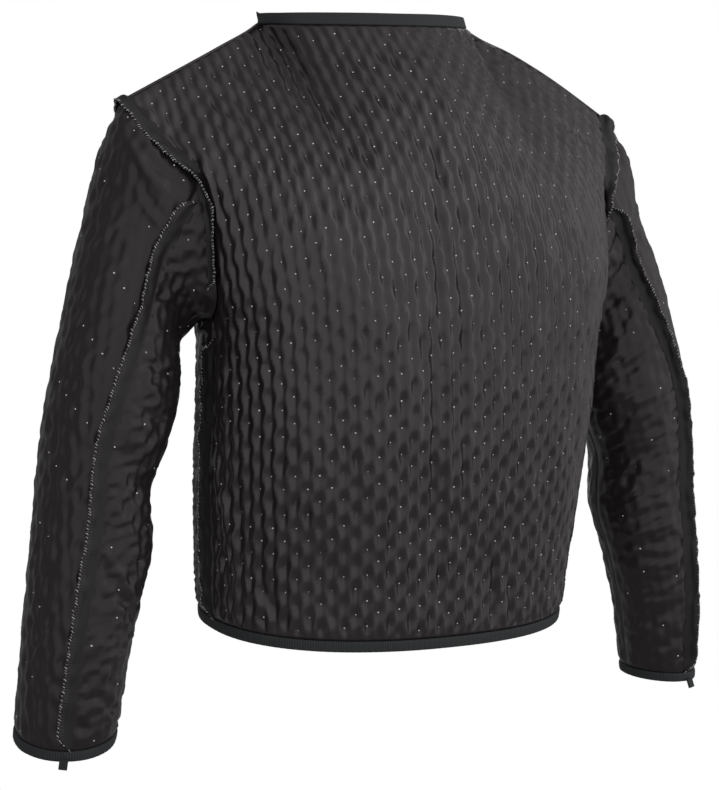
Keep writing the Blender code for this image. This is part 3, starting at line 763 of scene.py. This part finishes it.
def crease_height(u, v, rows):
    """Sum of a panel's creases at every point."""
    height = np.zeros_like(u)
    for row in rows:
        u_from, v_from, u_to, v_to, bow, tall, half_width = (value / 1000 for value in row)
        way = np.array([u_to - u_from, v_to - v_from])
        length = np.linalg.norm(way)
        way = way / length
        along = (u - u_from) * way[0] + (v - v_from) * way[1]
        share = np.clip(along / length, 0.0, 1.0)
        aside = (u - u_from) * way[1] - (v - v_from) * way[0]
        aside = aside - bow * 4.0 * share * (1.0 - share)
        ends = fade(along, -0.1 * length, 0.3 * length) * fade(along, 1.1 * length, 0.7 * length)
        narrow = half_width * (NARROW_ENDS + (1.0 - NARROW_ENDS) * ends)
        height += tall * ends * np.exp(-(aside / narrow) ** 2)
    return height


# %% [markdown]
# ## Sewing room: dense panels
#
# Every panel gets its fine points, its quilting and its creases. Its edges sink a little, as cloth
# does where it is caught in a seam. The back's ridges are upright and narrow, so its points are
# closer across than up. Solidify then gives each panel the lining side, which the open neck and
# cuffs show.

# %% Build the panels
FINE_STEPS = {
    # node: steps between coarse columns, and between coarse rows
    "back_panel": (14, 7), "front_left": (6, 9), "front_right": (6, 9),
    "sleeve_left_outer": (8, 15), "sleeve_left_under": (7, 14),
    "sleeve_right_outer": (8, 15), "sleeve_right_under": (7, 14),
}
EDGE_HEIGHT = -0.0002     # the cloth's outer face where a seam or a tape holds it
SEAM_REACH = 0.0090
QUILT_FADE = 0.0100       # from the panel's edge to where the quilting has its full height
CREASE_FADE = 0.0140
CLOTH_THICKNESS = 0.0016

panels = {}
fine_middles = {}
fine_grids = {}
fine_cuts = {}


def edge_distance(cut):
    """Distance of every fine point from the nearest edge of its panel, on the flat cloth."""
    rows, columns = cut.shape[:2]
    left = np.linalg.norm(cut - cut[:, :1], axis=-1)
    right = np.linalg.norm(cut - cut[:, -1:], axis=-1)
    low = np.linalg.norm(cut - cut[:1], axis=-1)
    high = np.linalg.norm(cut - cut[-1:], axis=-1)
    return np.minimum(np.minimum(left, right), np.minimum(low, high))


def quilted_panel(name):
    """A finished cloth panel: dense, quilted, creased and given its thickness."""
    steps = FINE_STEPS[name]
    grid = refine(grids[name], *steps)
    cut = refine(cuts[name], *steps)
    normals = surface_normals(grid)
    u, v = cut[..., 0], cut[..., 1]
    inside = edge_distance(cut)
    look = quilt_of(name)
    height = MIDDLE_SURFACE_TO_CREST + quilt_height(u, v, look) * fade(inside, 0.0, QUILT_FADE)
    height += crease_height(u, v, CREASES[name]) * fade(inside, 0.0, CREASE_FADE)
    height += (EDGE_HEIGHT - height) * fade(inside, SEAM_REACH, 0.0)
    fine_middles[name] = grid
    grid = grid + normals * height[..., None]
    piece = sheet_object("satin_" + name, grid)
    write_map(piece.data, cut)
    piece.data.shade_smooth()
    thicken(piece, CLOTH_THICKNESS, -1.0)
    apply_modifiers(piece)
    panels[name] = piece
    fine_grids[name] = grid
    fine_cuts[name] = cut
    triangles = sum(len(face.vertices) - 2 for face in piece.data.polygons)
    print(name, "triangles", triangles)


for name in grids:
    quilted_panel(name)

# %% [markdown]
# ## Tacks
#
# Each tack pulls the satin down into the wadding, and shows as a bright dot in its pit, a glint
# of the light. One small bead is modelled for a tack, pale so that it paints that glint, and a
# copy of it is set at the crossings of the lattice that fall on the panel clear of its seams, on
# the surface that the quilting has just made. On the sleeves most crossings get none.

# %% Thread beads on the lattice
BEAD_SIZE = (0.00105, 0.00090, 0.00060)   # half sizes across, up and out
BEAD_CLEAR_OF_SEAM = 0.0075
BEAD_SPREAD = 0.12        # how much beads differ in size
BLOCK = 6                 # rows and columns of a panel that one step of the search covers
NEAREST_POINT = 0.0035    # a crossing further than this from every point is off the panel

bpy.ops.object.select_all(action="DESELECT")
bpy.ops.mesh.primitive_ico_sphere_add(subdivisions=1, radius=1.0)
bead = bpy.context.object
bead_points = np.array([vertex.co[:] for vertex in bead.data.vertices]) * BEAD_SIZE
bead_faces = np.array([face.vertices[:] for face in bead.data.polygons])
bpy.data.objects.remove(bead, do_unlink=True)


def joined_copies(name, points, faces, places, axes, scales):
    """One mesh of many copies of a small shape, each turned to its own three axes."""
    moved = np.einsum("pk,nkj->npj", points, axes) * scales[:, None, None] + places[:, None]
    shifted = faces[None] + np.arange(len(places))[:, None, None] * len(points)
    made = mesh_object(name, moved, shifted.reshape(-1, faces.shape[1]).tolist())
    made.data.shade_smooth()
    return made


def lattice_places(cut, look):
    """Flat places of all the tacks that can fall on a panel."""
    turn = math.radians(look["turn"])
    reach = int(np.abs(cut).max() / TACK_ACROSS) + 2
    steps = np.arange(-reach, reach + 1)
    for half in (0.0, 0.5):
        across, upward = np.meshgrid(steps - half - look["shift_across"],
                                     steps - half - look["shift_up"])
        across = across.ravel() * TACK_ACROSS
        upward = upward.ravel() * TACK_UP
        yield np.stack([across * math.cos(turn) - upward * math.sin(turn),
                        across * math.sin(turn) + upward * math.cos(turn)], axis=1)


def tack_beads(name):
    """The tacks of a panel, as pale beads that paint the glint of light in each tack's pit."""
    cut = fine_cuts[name]
    grid = fine_grids[name]
    look = quilt_of(name)
    inside = edge_distance(cut)
    normals = surface_normals(fine_middles[name])
    blocks = cut[::BLOCK, ::BLOCK]
    blocks_across = blocks.shape[1]
    blocks = blocks.reshape(-1, 2)
    places = []
    axes = []
    for count, target in enumerate(np.vstack(list(lattice_places(cut, look)))):
        # Some tacks get no bead and so no painted glint: most of those on the sleeves.
        if math.sin(count * 4.7) * 0.5 + 0.5 < look["tack_glints_left_out"]:
            continue
        block = int(np.argmin(((blocks - target) ** 2).sum(axis=1)))
        row0 = max(block // blocks_across * BLOCK - BLOCK, 0)
        column0 = max(block % blocks_across * BLOCK - BLOCK, 0)
        near = cut[row0:row0 + 2 * BLOCK + 1, column0:column0 + 2 * BLOCK + 1]
        away = ((near - target) ** 2).sum(axis=-1)
        row, column = np.unravel_index(int(np.argmin(away)), away.shape)
        if away[row, column] > NEAREST_POINT ** 2:
            continue
        row += row0
        column += column0
        if inside[row, column] < BEAD_CLEAR_OF_SEAM:
            continue
        row = min(row, cut.shape[0] - 2)
        column = min(column, cut.shape[1] - 2)
        flat_steps = np.array([cut[row, column + 1] - cut[row, column],
                               cut[row + 1, column] - cut[row, column]])
        steps = np.array([grid[row, column + 1] - grid[row, column],
                          grid[row + 1, column] - grid[row, column]])
        share = np.linalg.solve(flat_steps.T, target - cut[row, column])
        places.append(grid[row, column] + share @ steps)
        out = normals[row, column]
        along = steps[0] / np.linalg.norm(steps[0])
        along = along - out * np.dot(along, out)
        axes.append([along, np.cross(out, along), out])
    places = np.array(places)
    order = np.arange(len(places))
    scales = 1.0 + BEAD_SPREAD * np.sin(order * 7.3)
    return joined_copies("tacks_" + name, bead_points, bead_faces, places, np.array(axes), scales)


tacks = {name: tack_beads(name) for name in panels}
for name, piece in tacks.items():
    print(name, "tacks", len(piece.data.polygons) // len(bead_faces))

# %% [markdown]
# ## Lines along the edges
#
# Tapes and seams follow the edges of the panels, and some run along several panels in turn. So
# the points of such an edge are collected, with the points a little inside them and the ways that
# the cloth faces there.

# %% Functions for lines
def rows_joined(parts, row, inner_row):
    """Edge points, the points inside them and the ways they face, along several panels in turn."""
    lines = []
    for name, first, last in parts:
        steps = FINE_STEPS[name][0]
        taken = slice(first * steps, last * steps + (name == parts[-1][0]))
        grid = fine_middles[name]
        lines.append((grid[row, taken], grid[inner_row, taken],
                      surface_normals(grid)[row, taken]))
    return [np.vstack(line) for line in zip(*lines)]


def smoothed(values, times, ring):
    """Vectors averaged along a line, and set back to length one."""
    for _ in range(times):
        if ring:
            values = np.roll(values, 1, axis=0) + values * 2 + np.roll(values, -1, axis=0)
        else:
            middle_part = values[:-2] + values[1:-1] * 2 + values[2:]
            values = np.vstack([values[:1], middle_part / 4, values[-1:]])
        values = unit(values)
    return values


def line_lengths(line):
    """Distance of every point of a line from its start."""
    steps = np.linalg.norm(np.diff(line, axis=0), axis=1)
    return np.concatenate([[0.0], np.cumsum(steps)])


def face_outward(piece):
    """Turns all the faces of closed pieces outward and shades them smooth."""
    work = bmesh.new()
    work.from_mesh(piece.data)
    bmesh.ops.recalc_face_normals(work, faces=work.faces[:])
    work.to_mesh(piece.data)
    work.free()
    piece.data.shade_smooth()


print("the back's hem is", round(line_lengths(fine_middles["back_panel"][0])[-1], 3), "m long")

# %% [markdown]
# ## Bindings
#
# The raw edges are closed with tape folded in half over them. A tape is built from the very
# points of the edges that it covers: a flat oval section is carried along the edge, and it is
# drawn in a little every few millimetres, where the stitches pull it.

# %% Carry a tape along an edge
SECTION_POINTS = 14
SECTION_FACE = 0.55       # below 1, the section's faces are flatter than an oval's
SECTION_ENDS = 0.45       # and its two ends are blunter
TAPE_LAP = 0.0012         # how far a tape reaches back over the panel's edge
TAPE_STITCH = 0.0062
STITCH_STRAY = 1.5        # how far the stitches stray from even steps, in radians
STITCH_DRIFT = 91.0       # and how fast, in radians to a metre
EDGE_ROUNDS = 6           # rounds of averaging of the ways an edge faces


def banded_tape(name, edge, inside, facing, height, thickness, ring=False, stand=0.0, pull=0.0):
    """Folded tape that covers an edge and carries on past it by its height."""
    onward = smoothed(edge - inside, EDGE_ROUNDS, ring)
    facing = smoothed(facing, EDGE_ROUNDS, ring)
    upright = unit(onward * (1.0 - stand) + np.array([0.0, 0.0, stand]))
    distance = line_lengths(np.vstack([edge, edge[:1]]) if ring else edge)
    length = distance[-1]
    distance = distance[:len(edge)]
    stray = STITCH_STRAY * np.sin(distance * STITCH_DRIFT)
    stitches = np.sin(distance * 2 * math.pi / TAPE_STITCH + stray)
    squeeze = 1.0 - pull * (0.5 + 0.5 * stitches)
    rows = []
    heights = []
    for turn in np.linspace(0.0, 2 * math.pi, SECTION_POINTS, endpoint=False):
        out = math.copysign(abs(math.sin(turn)) ** SECTION_FACE, math.sin(turn)) * thickness / 2
        past = 0.5 - 0.5 * math.copysign(abs(math.cos(turn)) ** SECTION_ENDS, math.cos(turn))
        way = onward * (1.0 - past) + upright * past
        place = edge + way * (past * (height + TAPE_LAP) - TAPE_LAP)
        rows.append(place + facing * (out * squeeze)[:, None])
        heights.append(past * height)
    index = np.arange(SECTION_POINTS * len(edge)).reshape(SECTION_POINTS, len(edge))
    beside = np.roll(index, -1, axis=1)
    quads = np.stack([index, np.roll(index, -1, axis=0), np.roll(beside, -1, axis=0), beside],
                     axis=-1)
    ends = np.append(distance[1:], length)
    maps = np.zeros((*quads.shape, 2))
    maps[..., 0] = np.stack([distance, distance, ends, ends], axis=-1)
    nexts = np.roll(heights, -1)
    maps[..., 1] = np.stack([heights, nexts, nexts, heights], axis=-1)[:, None]
    if not ring:
        quads, maps = quads[:, :-1], maps[:, :-1]
    faces, maps = quads.reshape(-1, 4).tolist(), maps.reshape(-1, 2)
    if not ring:
        faces += [index[::-1, 0].tolist(), index[:, -1].tolist()]
        caps = np.repeat([[0.0, 0.0], [length, 0.0]], SECTION_POINTS, axis=0)
        maps = np.vstack([maps, caps])
    made = mesh_object(name, np.array(rows), faces)
    layer = made.data.uv_layers.new(name="cloth")
    layer.data.foreach_set("uv", maps.ravel())
    face_outward(made)
    print(name, "length", round(float(length), 3), "faces", len(made.data.polygons))
    return made


print("points round a tape's section:", SECTION_POINTS)

# %% [markdown]
# ## The liner's tapes
#
# The hem tape runs from one front edge round the back to the other. So does the neck tape, which
# stands up a little steeper than the panels slope. Each cuff tape is a closed ring, and a tape
# closes each front edge.

# %% Tapes along the edges
INNER_ROWS = 6            # fine rows from an edge to the points that tell which way it faces
NECK_COLUMNS = 5          # coarse columns of a front, and of each half of the back, at the neck
BODY_COLUMNS = 12
OUTER_COLUMNS = 13
UNDER_COLUMNS = 5
FRONT_OPENING = 0.0010
HEM_TAPE = (0.0095, 0.0040)       # height and thickness
NECK_TAPE = (0.0130, 0.0026)
CUFF_TAPE = (0.0085, 0.0040)
FRONT_TAPE = (0.0100, 0.0040)
NECK_STAND = 0.30                 # how much the neck tape turns from the panels' slope to upright
HEM_PULL = 0.18                   # share of its thickness that a tape loses at a stitch
NECK_PULL = 0.05
FRONT_PULL = 0.10


def to_the_opening(parts):
    """The lines carried on to the front opening at both ends."""
    result = []
    for place, values in enumerate(parts):
        first, last = values[:1].copy(), values[-1:].copy()
        if place < 2:
            first[:, 0] = FRONT_OPENING / 2
            last[:, 0] = -FRONT_OPENING / 2
        result.append(np.vstack([first, values, last]))
    return result


tapes = {}
hem = rows_joined((("front_left", 0, BODY_COLUMNS), ("back_panel", 0, 2 * BODY_COLUMNS),
                   ("front_right", 0, BODY_COLUMNS)), 0, INNER_ROWS)
tapes["hem_binding"] = banded_tape("tape_hem", *to_the_opening(hem), *HEM_TAPE, pull=HEM_PULL)
neck = rows_joined((("front_left", 0, NECK_COLUMNS),
                    ("back_panel", BODY_COLUMNS - NECK_COLUMNS, BODY_COLUMNS + NECK_COLUMNS),
                    ("front_right", BODY_COLUMNS - NECK_COLUMNS, BODY_COLUMNS)),
                   -1, -1 - INNER_ROWS)
tapes["neck_binding"] = banded_tape("tape_neck", *to_the_opening(neck), *NECK_TAPE,
                                    stand=NECK_STAND, pull=NECK_PULL)
for side in ("left", "right"):
    cuff = rows_joined((("sleeve_%s_outer" % side, 0, OUTER_COLUMNS),
                        ("sleeve_%s_under" % side, 0, UNDER_COLUMNS)), 0, INNER_ROWS)
    cuff = [values[:-1] for values in cuff]
    tapes["cuff_binding_" + side] = banded_tape("tape_cuff_" + side, *cuff, *CUFF_TAPE, ring=True,
                                                pull=HEM_PULL)
    column, sign = (0, 1.0) if side == "left" else (-1, -1.0)
    grid = fine_middles["front_" + side]
    edge = grid[:, column]
    inside = edge + np.array([sign * FRONT_TAPE[0], 0.0, 0.0])
    tapes["front_binding_" + side] = banded_tape(
        "tape_front_" + side, edge, inside, surface_normals(grid)[:, column], *FRONT_TAPE,
        pull=FRONT_PULL)

# %% [markdown]
# ## Overlocked seam allowances
#
# The seams are turned outward. About 9 mm of cloth stands out along each of them, its raw edge
# wrapped by an overlocker in loops of pale thread. The strip grows out of the panel beside its
# seam and follows the CAD wall from there.

# %% Strips that grow out of a panel
ALLOWANCE_STEPS = (9, 3)
STRIP_FOOT = (
    # distance back from the seam, height over the panel
    (0.0085, -0.0008),
    (0.0040, 0.0001),
)
EVENING_ROUNDS = 3
STRIP_TAPER = (-0.006, 0.016)     # from a strip's end: where it starts, and where it is full

cloth_points = np.vstack([grid.reshape(-1, 3) for grid in fine_grids.values()])
cloth_normals = np.vstack([surface_normals(grid).reshape(-1, 3) for grid in fine_middles.values()])
cloth_tree = KDTree(len(cloth_points))
for index, point in enumerate(cloth_points):
    cloth_tree.insert(point, index)
cloth_tree.balance()


def on_the_cloth(line, lift):
    """Points of a line put down on the cloth under them, and raised a little."""
    nearest = [cloth_tree.find(point)[1] for point in line]
    placed = cloth_points[nearest] + cloth_normals[nearest] * lift
    return evened(placed), cloth_normals[nearest]


def evened(line):
    """A line with its small steps averaged out."""
    for _ in range(EVENING_ROUNDS):
        line = np.vstack([line[:1], (line[:-2] + line[1:-1] * 2 + line[2:]) / 4, line[-1:]])
    return line


def strip_grid(name):
    """Middle surface of a seam allowance, from the panel that it grows out of to its free edge."""
    grid = wall_grid(name, 3, ALLOWANCE_WALL)
    foot, free = [np.mean([cloth_tree.find(point)[2] for point in grid[row]]) for row in (0, -1)]
    if foot > free:
        grid = grid[::-1, ::-1]
    grid = np.einsum("ijk,cj->ick", grid, spline_weights(grid.shape[1], ALLOWANCE_STEPS[0]))
    _, out = on_the_cloth(grid[0], 0.0)
    back = grid[0] - grid[-1]
    back = unit(back - out * np.einsum("ij,ij->i", back, out)[:, None])
    rows = [on_the_cloth(grid[0] + back * reach, lift)[0] for reach, lift in STRIP_FOOT]
    distance = line_lengths(grid[0])
    kept = fade(np.minimum(distance, distance[-1] - distance), *STRIP_TAPER)[:, None]
    foot = rows[0]
    return np.array([foot] + [foot + (row - foot) * kept for row in (rows[1], *grid)])


print("points that a strip may grow out of:", len(cloth_points))

# %% [markdown]
# ## Overlock thread
#
# The loops are small bent tubes of uneven length, about one every 3 mm. Each climbs one face of
# the strip, goes over the free edge and comes down the other face.

# %% Loops over a free edge
LOOP_PITCH = 0.0030
LOOP_STRAY = 0.0007               # how far a loop may stray along the seam
LOOP_SIZE = 0.75                  # size of a loop, how much it varies, and its limits for length
LOOP_SPREAD = 0.45
LOOP_LIMITS = (0.4, 1.1)
THREAD_RADIUS = 0.00025
THREAD_SIDES = 4
LOOP_HALF = 0.00085               # from the middle of a strip to the thread on its face
LOOP_PATH = (
    # along the seam, inward from the edge, out of the strip
    (-0.0009, 0.0015, LOOP_HALF),
    (-0.0001, 0.0006, LOOP_HALF + 0.0001),
    (0.0006, -0.0004, 0.0004),
    (0.0004, -0.0005, -0.0004),
    (-0.0002, 0.0006, -LOOP_HALF - 0.0001),
    (-0.0008, 0.0015, -LOOP_HALF),
)


def overlock_loops(name, grid, normals, distance):
    """Loops of thread over the free edge of a strip."""
    count = int(distance[-1] / LOOP_PITCH)
    order = np.arange(count)
    places = (order + 0.5) * LOOP_PITCH
    places = places + LOOP_STRAY * np.sin(order * 5.1)
    size = LOOP_SIZE + LOOP_SPREAD * np.sin(order * 2.3) * np.sin(order * 0.71)

    def at(values):
        return np.stack([np.interp(places, distance, values[:, axis]) for axis in range(3)], axis=1)

    edge = at(grid[-1])
    low = at(grid[-3])
    out = unit(at(normals[-1]))
    inward = unit(low - edge)
    way = np.cross(out, inward)
    length = np.clip(size, *LOOP_LIMITS)[:, None]
    lines = np.array([edge + (way * a + inward * b) * length + out * c for a, b, c in LOOP_PATH])
    rings = []
    for index, centre in enumerate(lines):
        heading = unit(lines[min(index + 1, len(lines) - 1)] - lines[max(index - 1, 0)])
        first = unit(np.cross(heading, way))
        second = np.cross(heading, first)
        for turn in np.arange(THREAD_SIDES) * 2 * math.pi / THREAD_SIDES:
            rings.append(centre + (first * math.cos(turn) + second * math.sin(turn))
                         * THREAD_RADIUS * size[:, None])
    points = np.array(rings).transpose(1, 0, 2)
    corners = np.arange(THREAD_SIDES)
    beside = np.roll(corners, -1)
    first_ring = np.stack([corners, beside, beside + THREAD_SIDES, corners + THREAD_SIDES], axis=1)
    starts = np.arange(len(LOOP_PATH) - 1) * THREAD_SIDES
    faces = np.vstack([(first_ring[None] + starts[:, None, None]).reshape(-1, 4),
                       corners[::-1], corners + starts[-1] + THREAD_SIDES])
    shifted = faces[None] + np.arange(count)[:, None, None] * points.shape[1]
    made = mesh_object(name, points, shifted.reshape(-1, THREAD_SIDES).tolist())
    face_outward(made)
    return made


print("thread", THREAD_RADIUS * 2000, "mm thick, loops", LOOP_PITCH * 1000, "mm apart")

# %% [markdown]
# ## Sew the allowances
#
# A strip waves a little, more at its free edge than at its foot, and it isn't cut quite evenly.

# %% Allowance strips and their thread
ALLOWANCE_THICKNESS = 0.0012
STRIP_DEPTH = 0.017               # of its flat cloth, from its foot to its free edge
WAVE_DEPTH = 0.02                 # the same depth as the waves count it
STRIP_WAVES = (
    # height, length and depth of the waves
    (0.0016, 0.0090, 0.010),
    (0.0009, 0.0045, 0.007),
)
FRAY = (0.30, 0.0060)             # how unevenly the free edge is cut, and over what length


def allowance(name, seed):
    """A waved strip and the overlock loops along its free edge."""
    grid = strip_grid(name)
    grid = np.einsum("ri,ick->rck", spline_weights(len(grid), ALLOWANCE_STEPS[1]), grid)
    normals = surface_normals(grid)
    distance = line_lengths(grid[-1])
    share = np.linspace(0.0, 1.0, grid.shape[0])[:, None]
    along = np.broadcast_to(distance[None], grid.shape[:2])
    across = np.broadcast_to(share * WAVE_DEPTH, grid.shape[:2])
    wave = sum(tall * wander(along, across, long, deep, seed + number)
               for number, (tall, long, deep) in enumerate(STRIP_WAVES))
    grid = grid + normals * (wave * fade(share, 0.2, 0.8))[..., None]
    fray = FRAY[0] * fade(share, 0.6, 1.0) * wander(along, along * 0.0, FRAY[1], 1.0, seed + 2)
    grid = grid + (grid[-1] - grid[-2])[None] * ALLOWANCE_STEPS[1] * fray[..., None]
    strip = sheet_object("raw_edge_" + name, grid)
    depth = np.broadcast_to((1.0 - share) * STRIP_DEPTH, grid.shape[:2])
    write_map(strip.data, np.stack([along, depth], axis=-1))
    strip.data.shade_smooth()
    thicken(strip, ALLOWANCE_THICKNESS, 0.0)
    apply_modifiers(strip)
    return strip, overlock_loops("overlock_" + name, grid, normals, distance)


strips = {}
loops = {}
for index, kind in enumerate(("armhole_seam", "sleeve_seam", "side_seam")):
    for side in ("left", "right"):
        name = kind + "_" + side
        strips[name], loops[name] = allowance(name, 20 + 10 * index + (side == "left"))
        print(name, "length of its loops", [round(value, 3) for value in loops[name].dimensions])

# %% [markdown]
# ## Cuff tabs
#
# A short end of doubled tape is caught where each back sleeve seam meets the cuff.

# %% Tabs
TAB_WALL = 0.0024
TAB_ROUNDING = 0.0007
tabs = {}
for side in ("left", "right"):
    name = "cuff_tab_" + side
    grid = refine(wall_grid(name, 2, TAB_WALL), 4, 6)
    piece = sheet_object("tape_tab_" + side, grid)
    piece.data.shade_smooth()
    thicken(piece, TAB_WALL, 0.0)
    round_off = piece.modifiers.new("soft edges", "BEVEL")
    round_off.width = TAB_ROUNDING
    round_off.segments = 2
    apply_modifiers(piece)
    tabs[name] = piece
print("tabs:", len(tabs))

# %% [markdown]
# ## Satin
#
# Black polyester satin: long floats of smooth thread give a soft sheen, not a sharp one. The
# sheen is a broad highlight, so the roughness is middling, and a fine grain breaks it up. Its
# sheen has a faint warm tint. The sleeves are cut with the long threads running the other way,
# and look a little duller.

# %% Satin materials
GRAIN_SCALE = 900.0       # 1.1 mm to a grain: real threads are finer, and would not show


def satin(name, roughness, specular):
    """Charcoal satin: a fine grain in its colour and its surface, along the flat cloth."""
    finish, tree, shader = new_material(name, roughness, specular)
    flat_map = add_node(tree, "ShaderNodeUVMap", uv_map="cloth")
    weave = add_node(tree, "ShaderNodeTexNoise", {"Vector": flat_map.outputs["UV"],
                                                  "Scale": GRAIN_SCALE, "Detail": 2.0})
    two_tones(tree, shader, weave.outputs["Fac"], "#191617", "#231f20", 0.25, 0.0002)
    shader.inputs["Specular Tint"].default_value = linear("#fff6f9")
    return finish


body_satin = satin("satin_across_the_body", 0.31, 0.5)
sleeve_satin = satin("satin_along_the_sleeve", 0.36, 0.30)
print("satins:", body_satin.name, sleeve_satin.name)

# %% [markdown]
# ## Tape, raw edge and thread
#
# The tape is a matt ribbed weave. The raw edges are the same satin seen from its dull side, with
# needle thread laid across them. The thread is spun polyester, pale grey. The tack beads take the
# same pale finish, and on them it paints the glint of light in each tack's pit.

# %% Tape, raw edge and thread materials
RIB_SCALE = 130.0         # ribs 2.4 mm apart: the tape's own are finer, and would not show
RUNG_SCALE = 120.0        # needle threads laid across a raw edge every 2.6 mm
RUNG_REACH = (0.0060, 0.0045)     # from the free edge to where they begin, and are all there
FUZZ_SCALE = 400.0        # lighter and darker lengths of 2.5 mm along a thread


def stripes(tree, scale, distortion):
    """The map of the flat cloth, and stripes across its length with slightly uneven edges."""
    flat_map = add_node(tree, "ShaderNodeUVMap", uv_map="cloth")
    waves = add_node(tree, "ShaderNodeTexWave", {"Vector": flat_map.outputs["UV"], "Scale": scale,
                                                 "Distortion": distortion, "Detail": 1.0,
                                                 "Detail Scale": 2.0}, bands_direction="X")
    return flat_map.outputs["UV"], waves.outputs["Fac"]


tape_cloth, tree, shader = new_material("ribbed_polyester_tape", 0.75, 0.3)
_, ribs = stripes(tree, RIB_SCALE, 0.6)
two_tones(tree, shader, ribs, "#1d1f20", "#2e3032", 0.5, 0.0003)

raw_edge, tree, shader = new_material("overlocked_satin_edge", 0.55, 0.3)
flat_map, rungs = stripes(tree, RUNG_SCALE, 2.0)
split = add_node(tree, "ShaderNodeSeparateXYZ", {"Vector": flat_map})
near_edge = add_node(tree, "ShaderNodeMapRange", {"Value": split.outputs["Y"],
                                                  "From Min": RUNG_REACH[0],
                                                  "From Max": RUNG_REACH[1]})
laid = add_node(tree, "ShaderNodeMath", {0: rungs, 1: near_edge.outputs["Result"]},
                operation="MULTIPLY")
two_tones(tree, shader, laid.outputs["Value"], "#191617", "#2a2728", 0.6, 0.0003)

# Pale grey: the overlock thread's own colour, and on the tack beads a painted glint.
thread, tree, shader = new_material("pale_thread_and_painted_tack_glint", 0.6)
place = add_node(tree, "ShaderNodeTexCoord")
fuzz = add_node(tree, "ShaderNodeTexNoise", {"Vector": place.outputs["Object"],
                                             "Scale": FUZZ_SCALE})
two_tones(tree, shader, fuzz.outputs["Fac"], "#9c9a9a", "#f2f2f2")
print("finishes:", [finish.name for finish in bpy.data.materials])

# %% [markdown]
#
# Every piece rides on the one body of the model and takes its finish. A piece made from a CAD
# solid hides that solid.

# %% Bodies and slots
def declare(piece, material, node=None):
    """Gives a piece its material and its body, and hides the CAD node that it stands for."""
    piece.data.materials.append(material)
    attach(piece, "root")
    if node:
        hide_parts(node)


for name, piece in panels.items():
    cloth = sleeve_satin if "sleeve" in name else body_satin
    declare(piece, cloth, name)
    # The tack beads take the pale thread finish, which paints the glint in each pit.
    declare(tacks[name], thread)
for name, piece in tapes.items():
    declare(piece, tape_cloth, name)
for name, piece in tabs.items():
    declare(piece, tape_cloth, name)
for name, piece in strips.items():
    declare(piece, raw_edge, name)
    declare(loops[name], thread)

# %% [markdown]
# ## Sizes
#
# The size of the CAD model's box is printed. The cloth has to stay within the box of the CAD
# model, but for a little that its folds may stand past it.

# %% Sizes and the end
bpy.context.view_layer.update()
print("CAD box", [round(b - a, 4) for a, b in zip(cad_low, cad_high)])
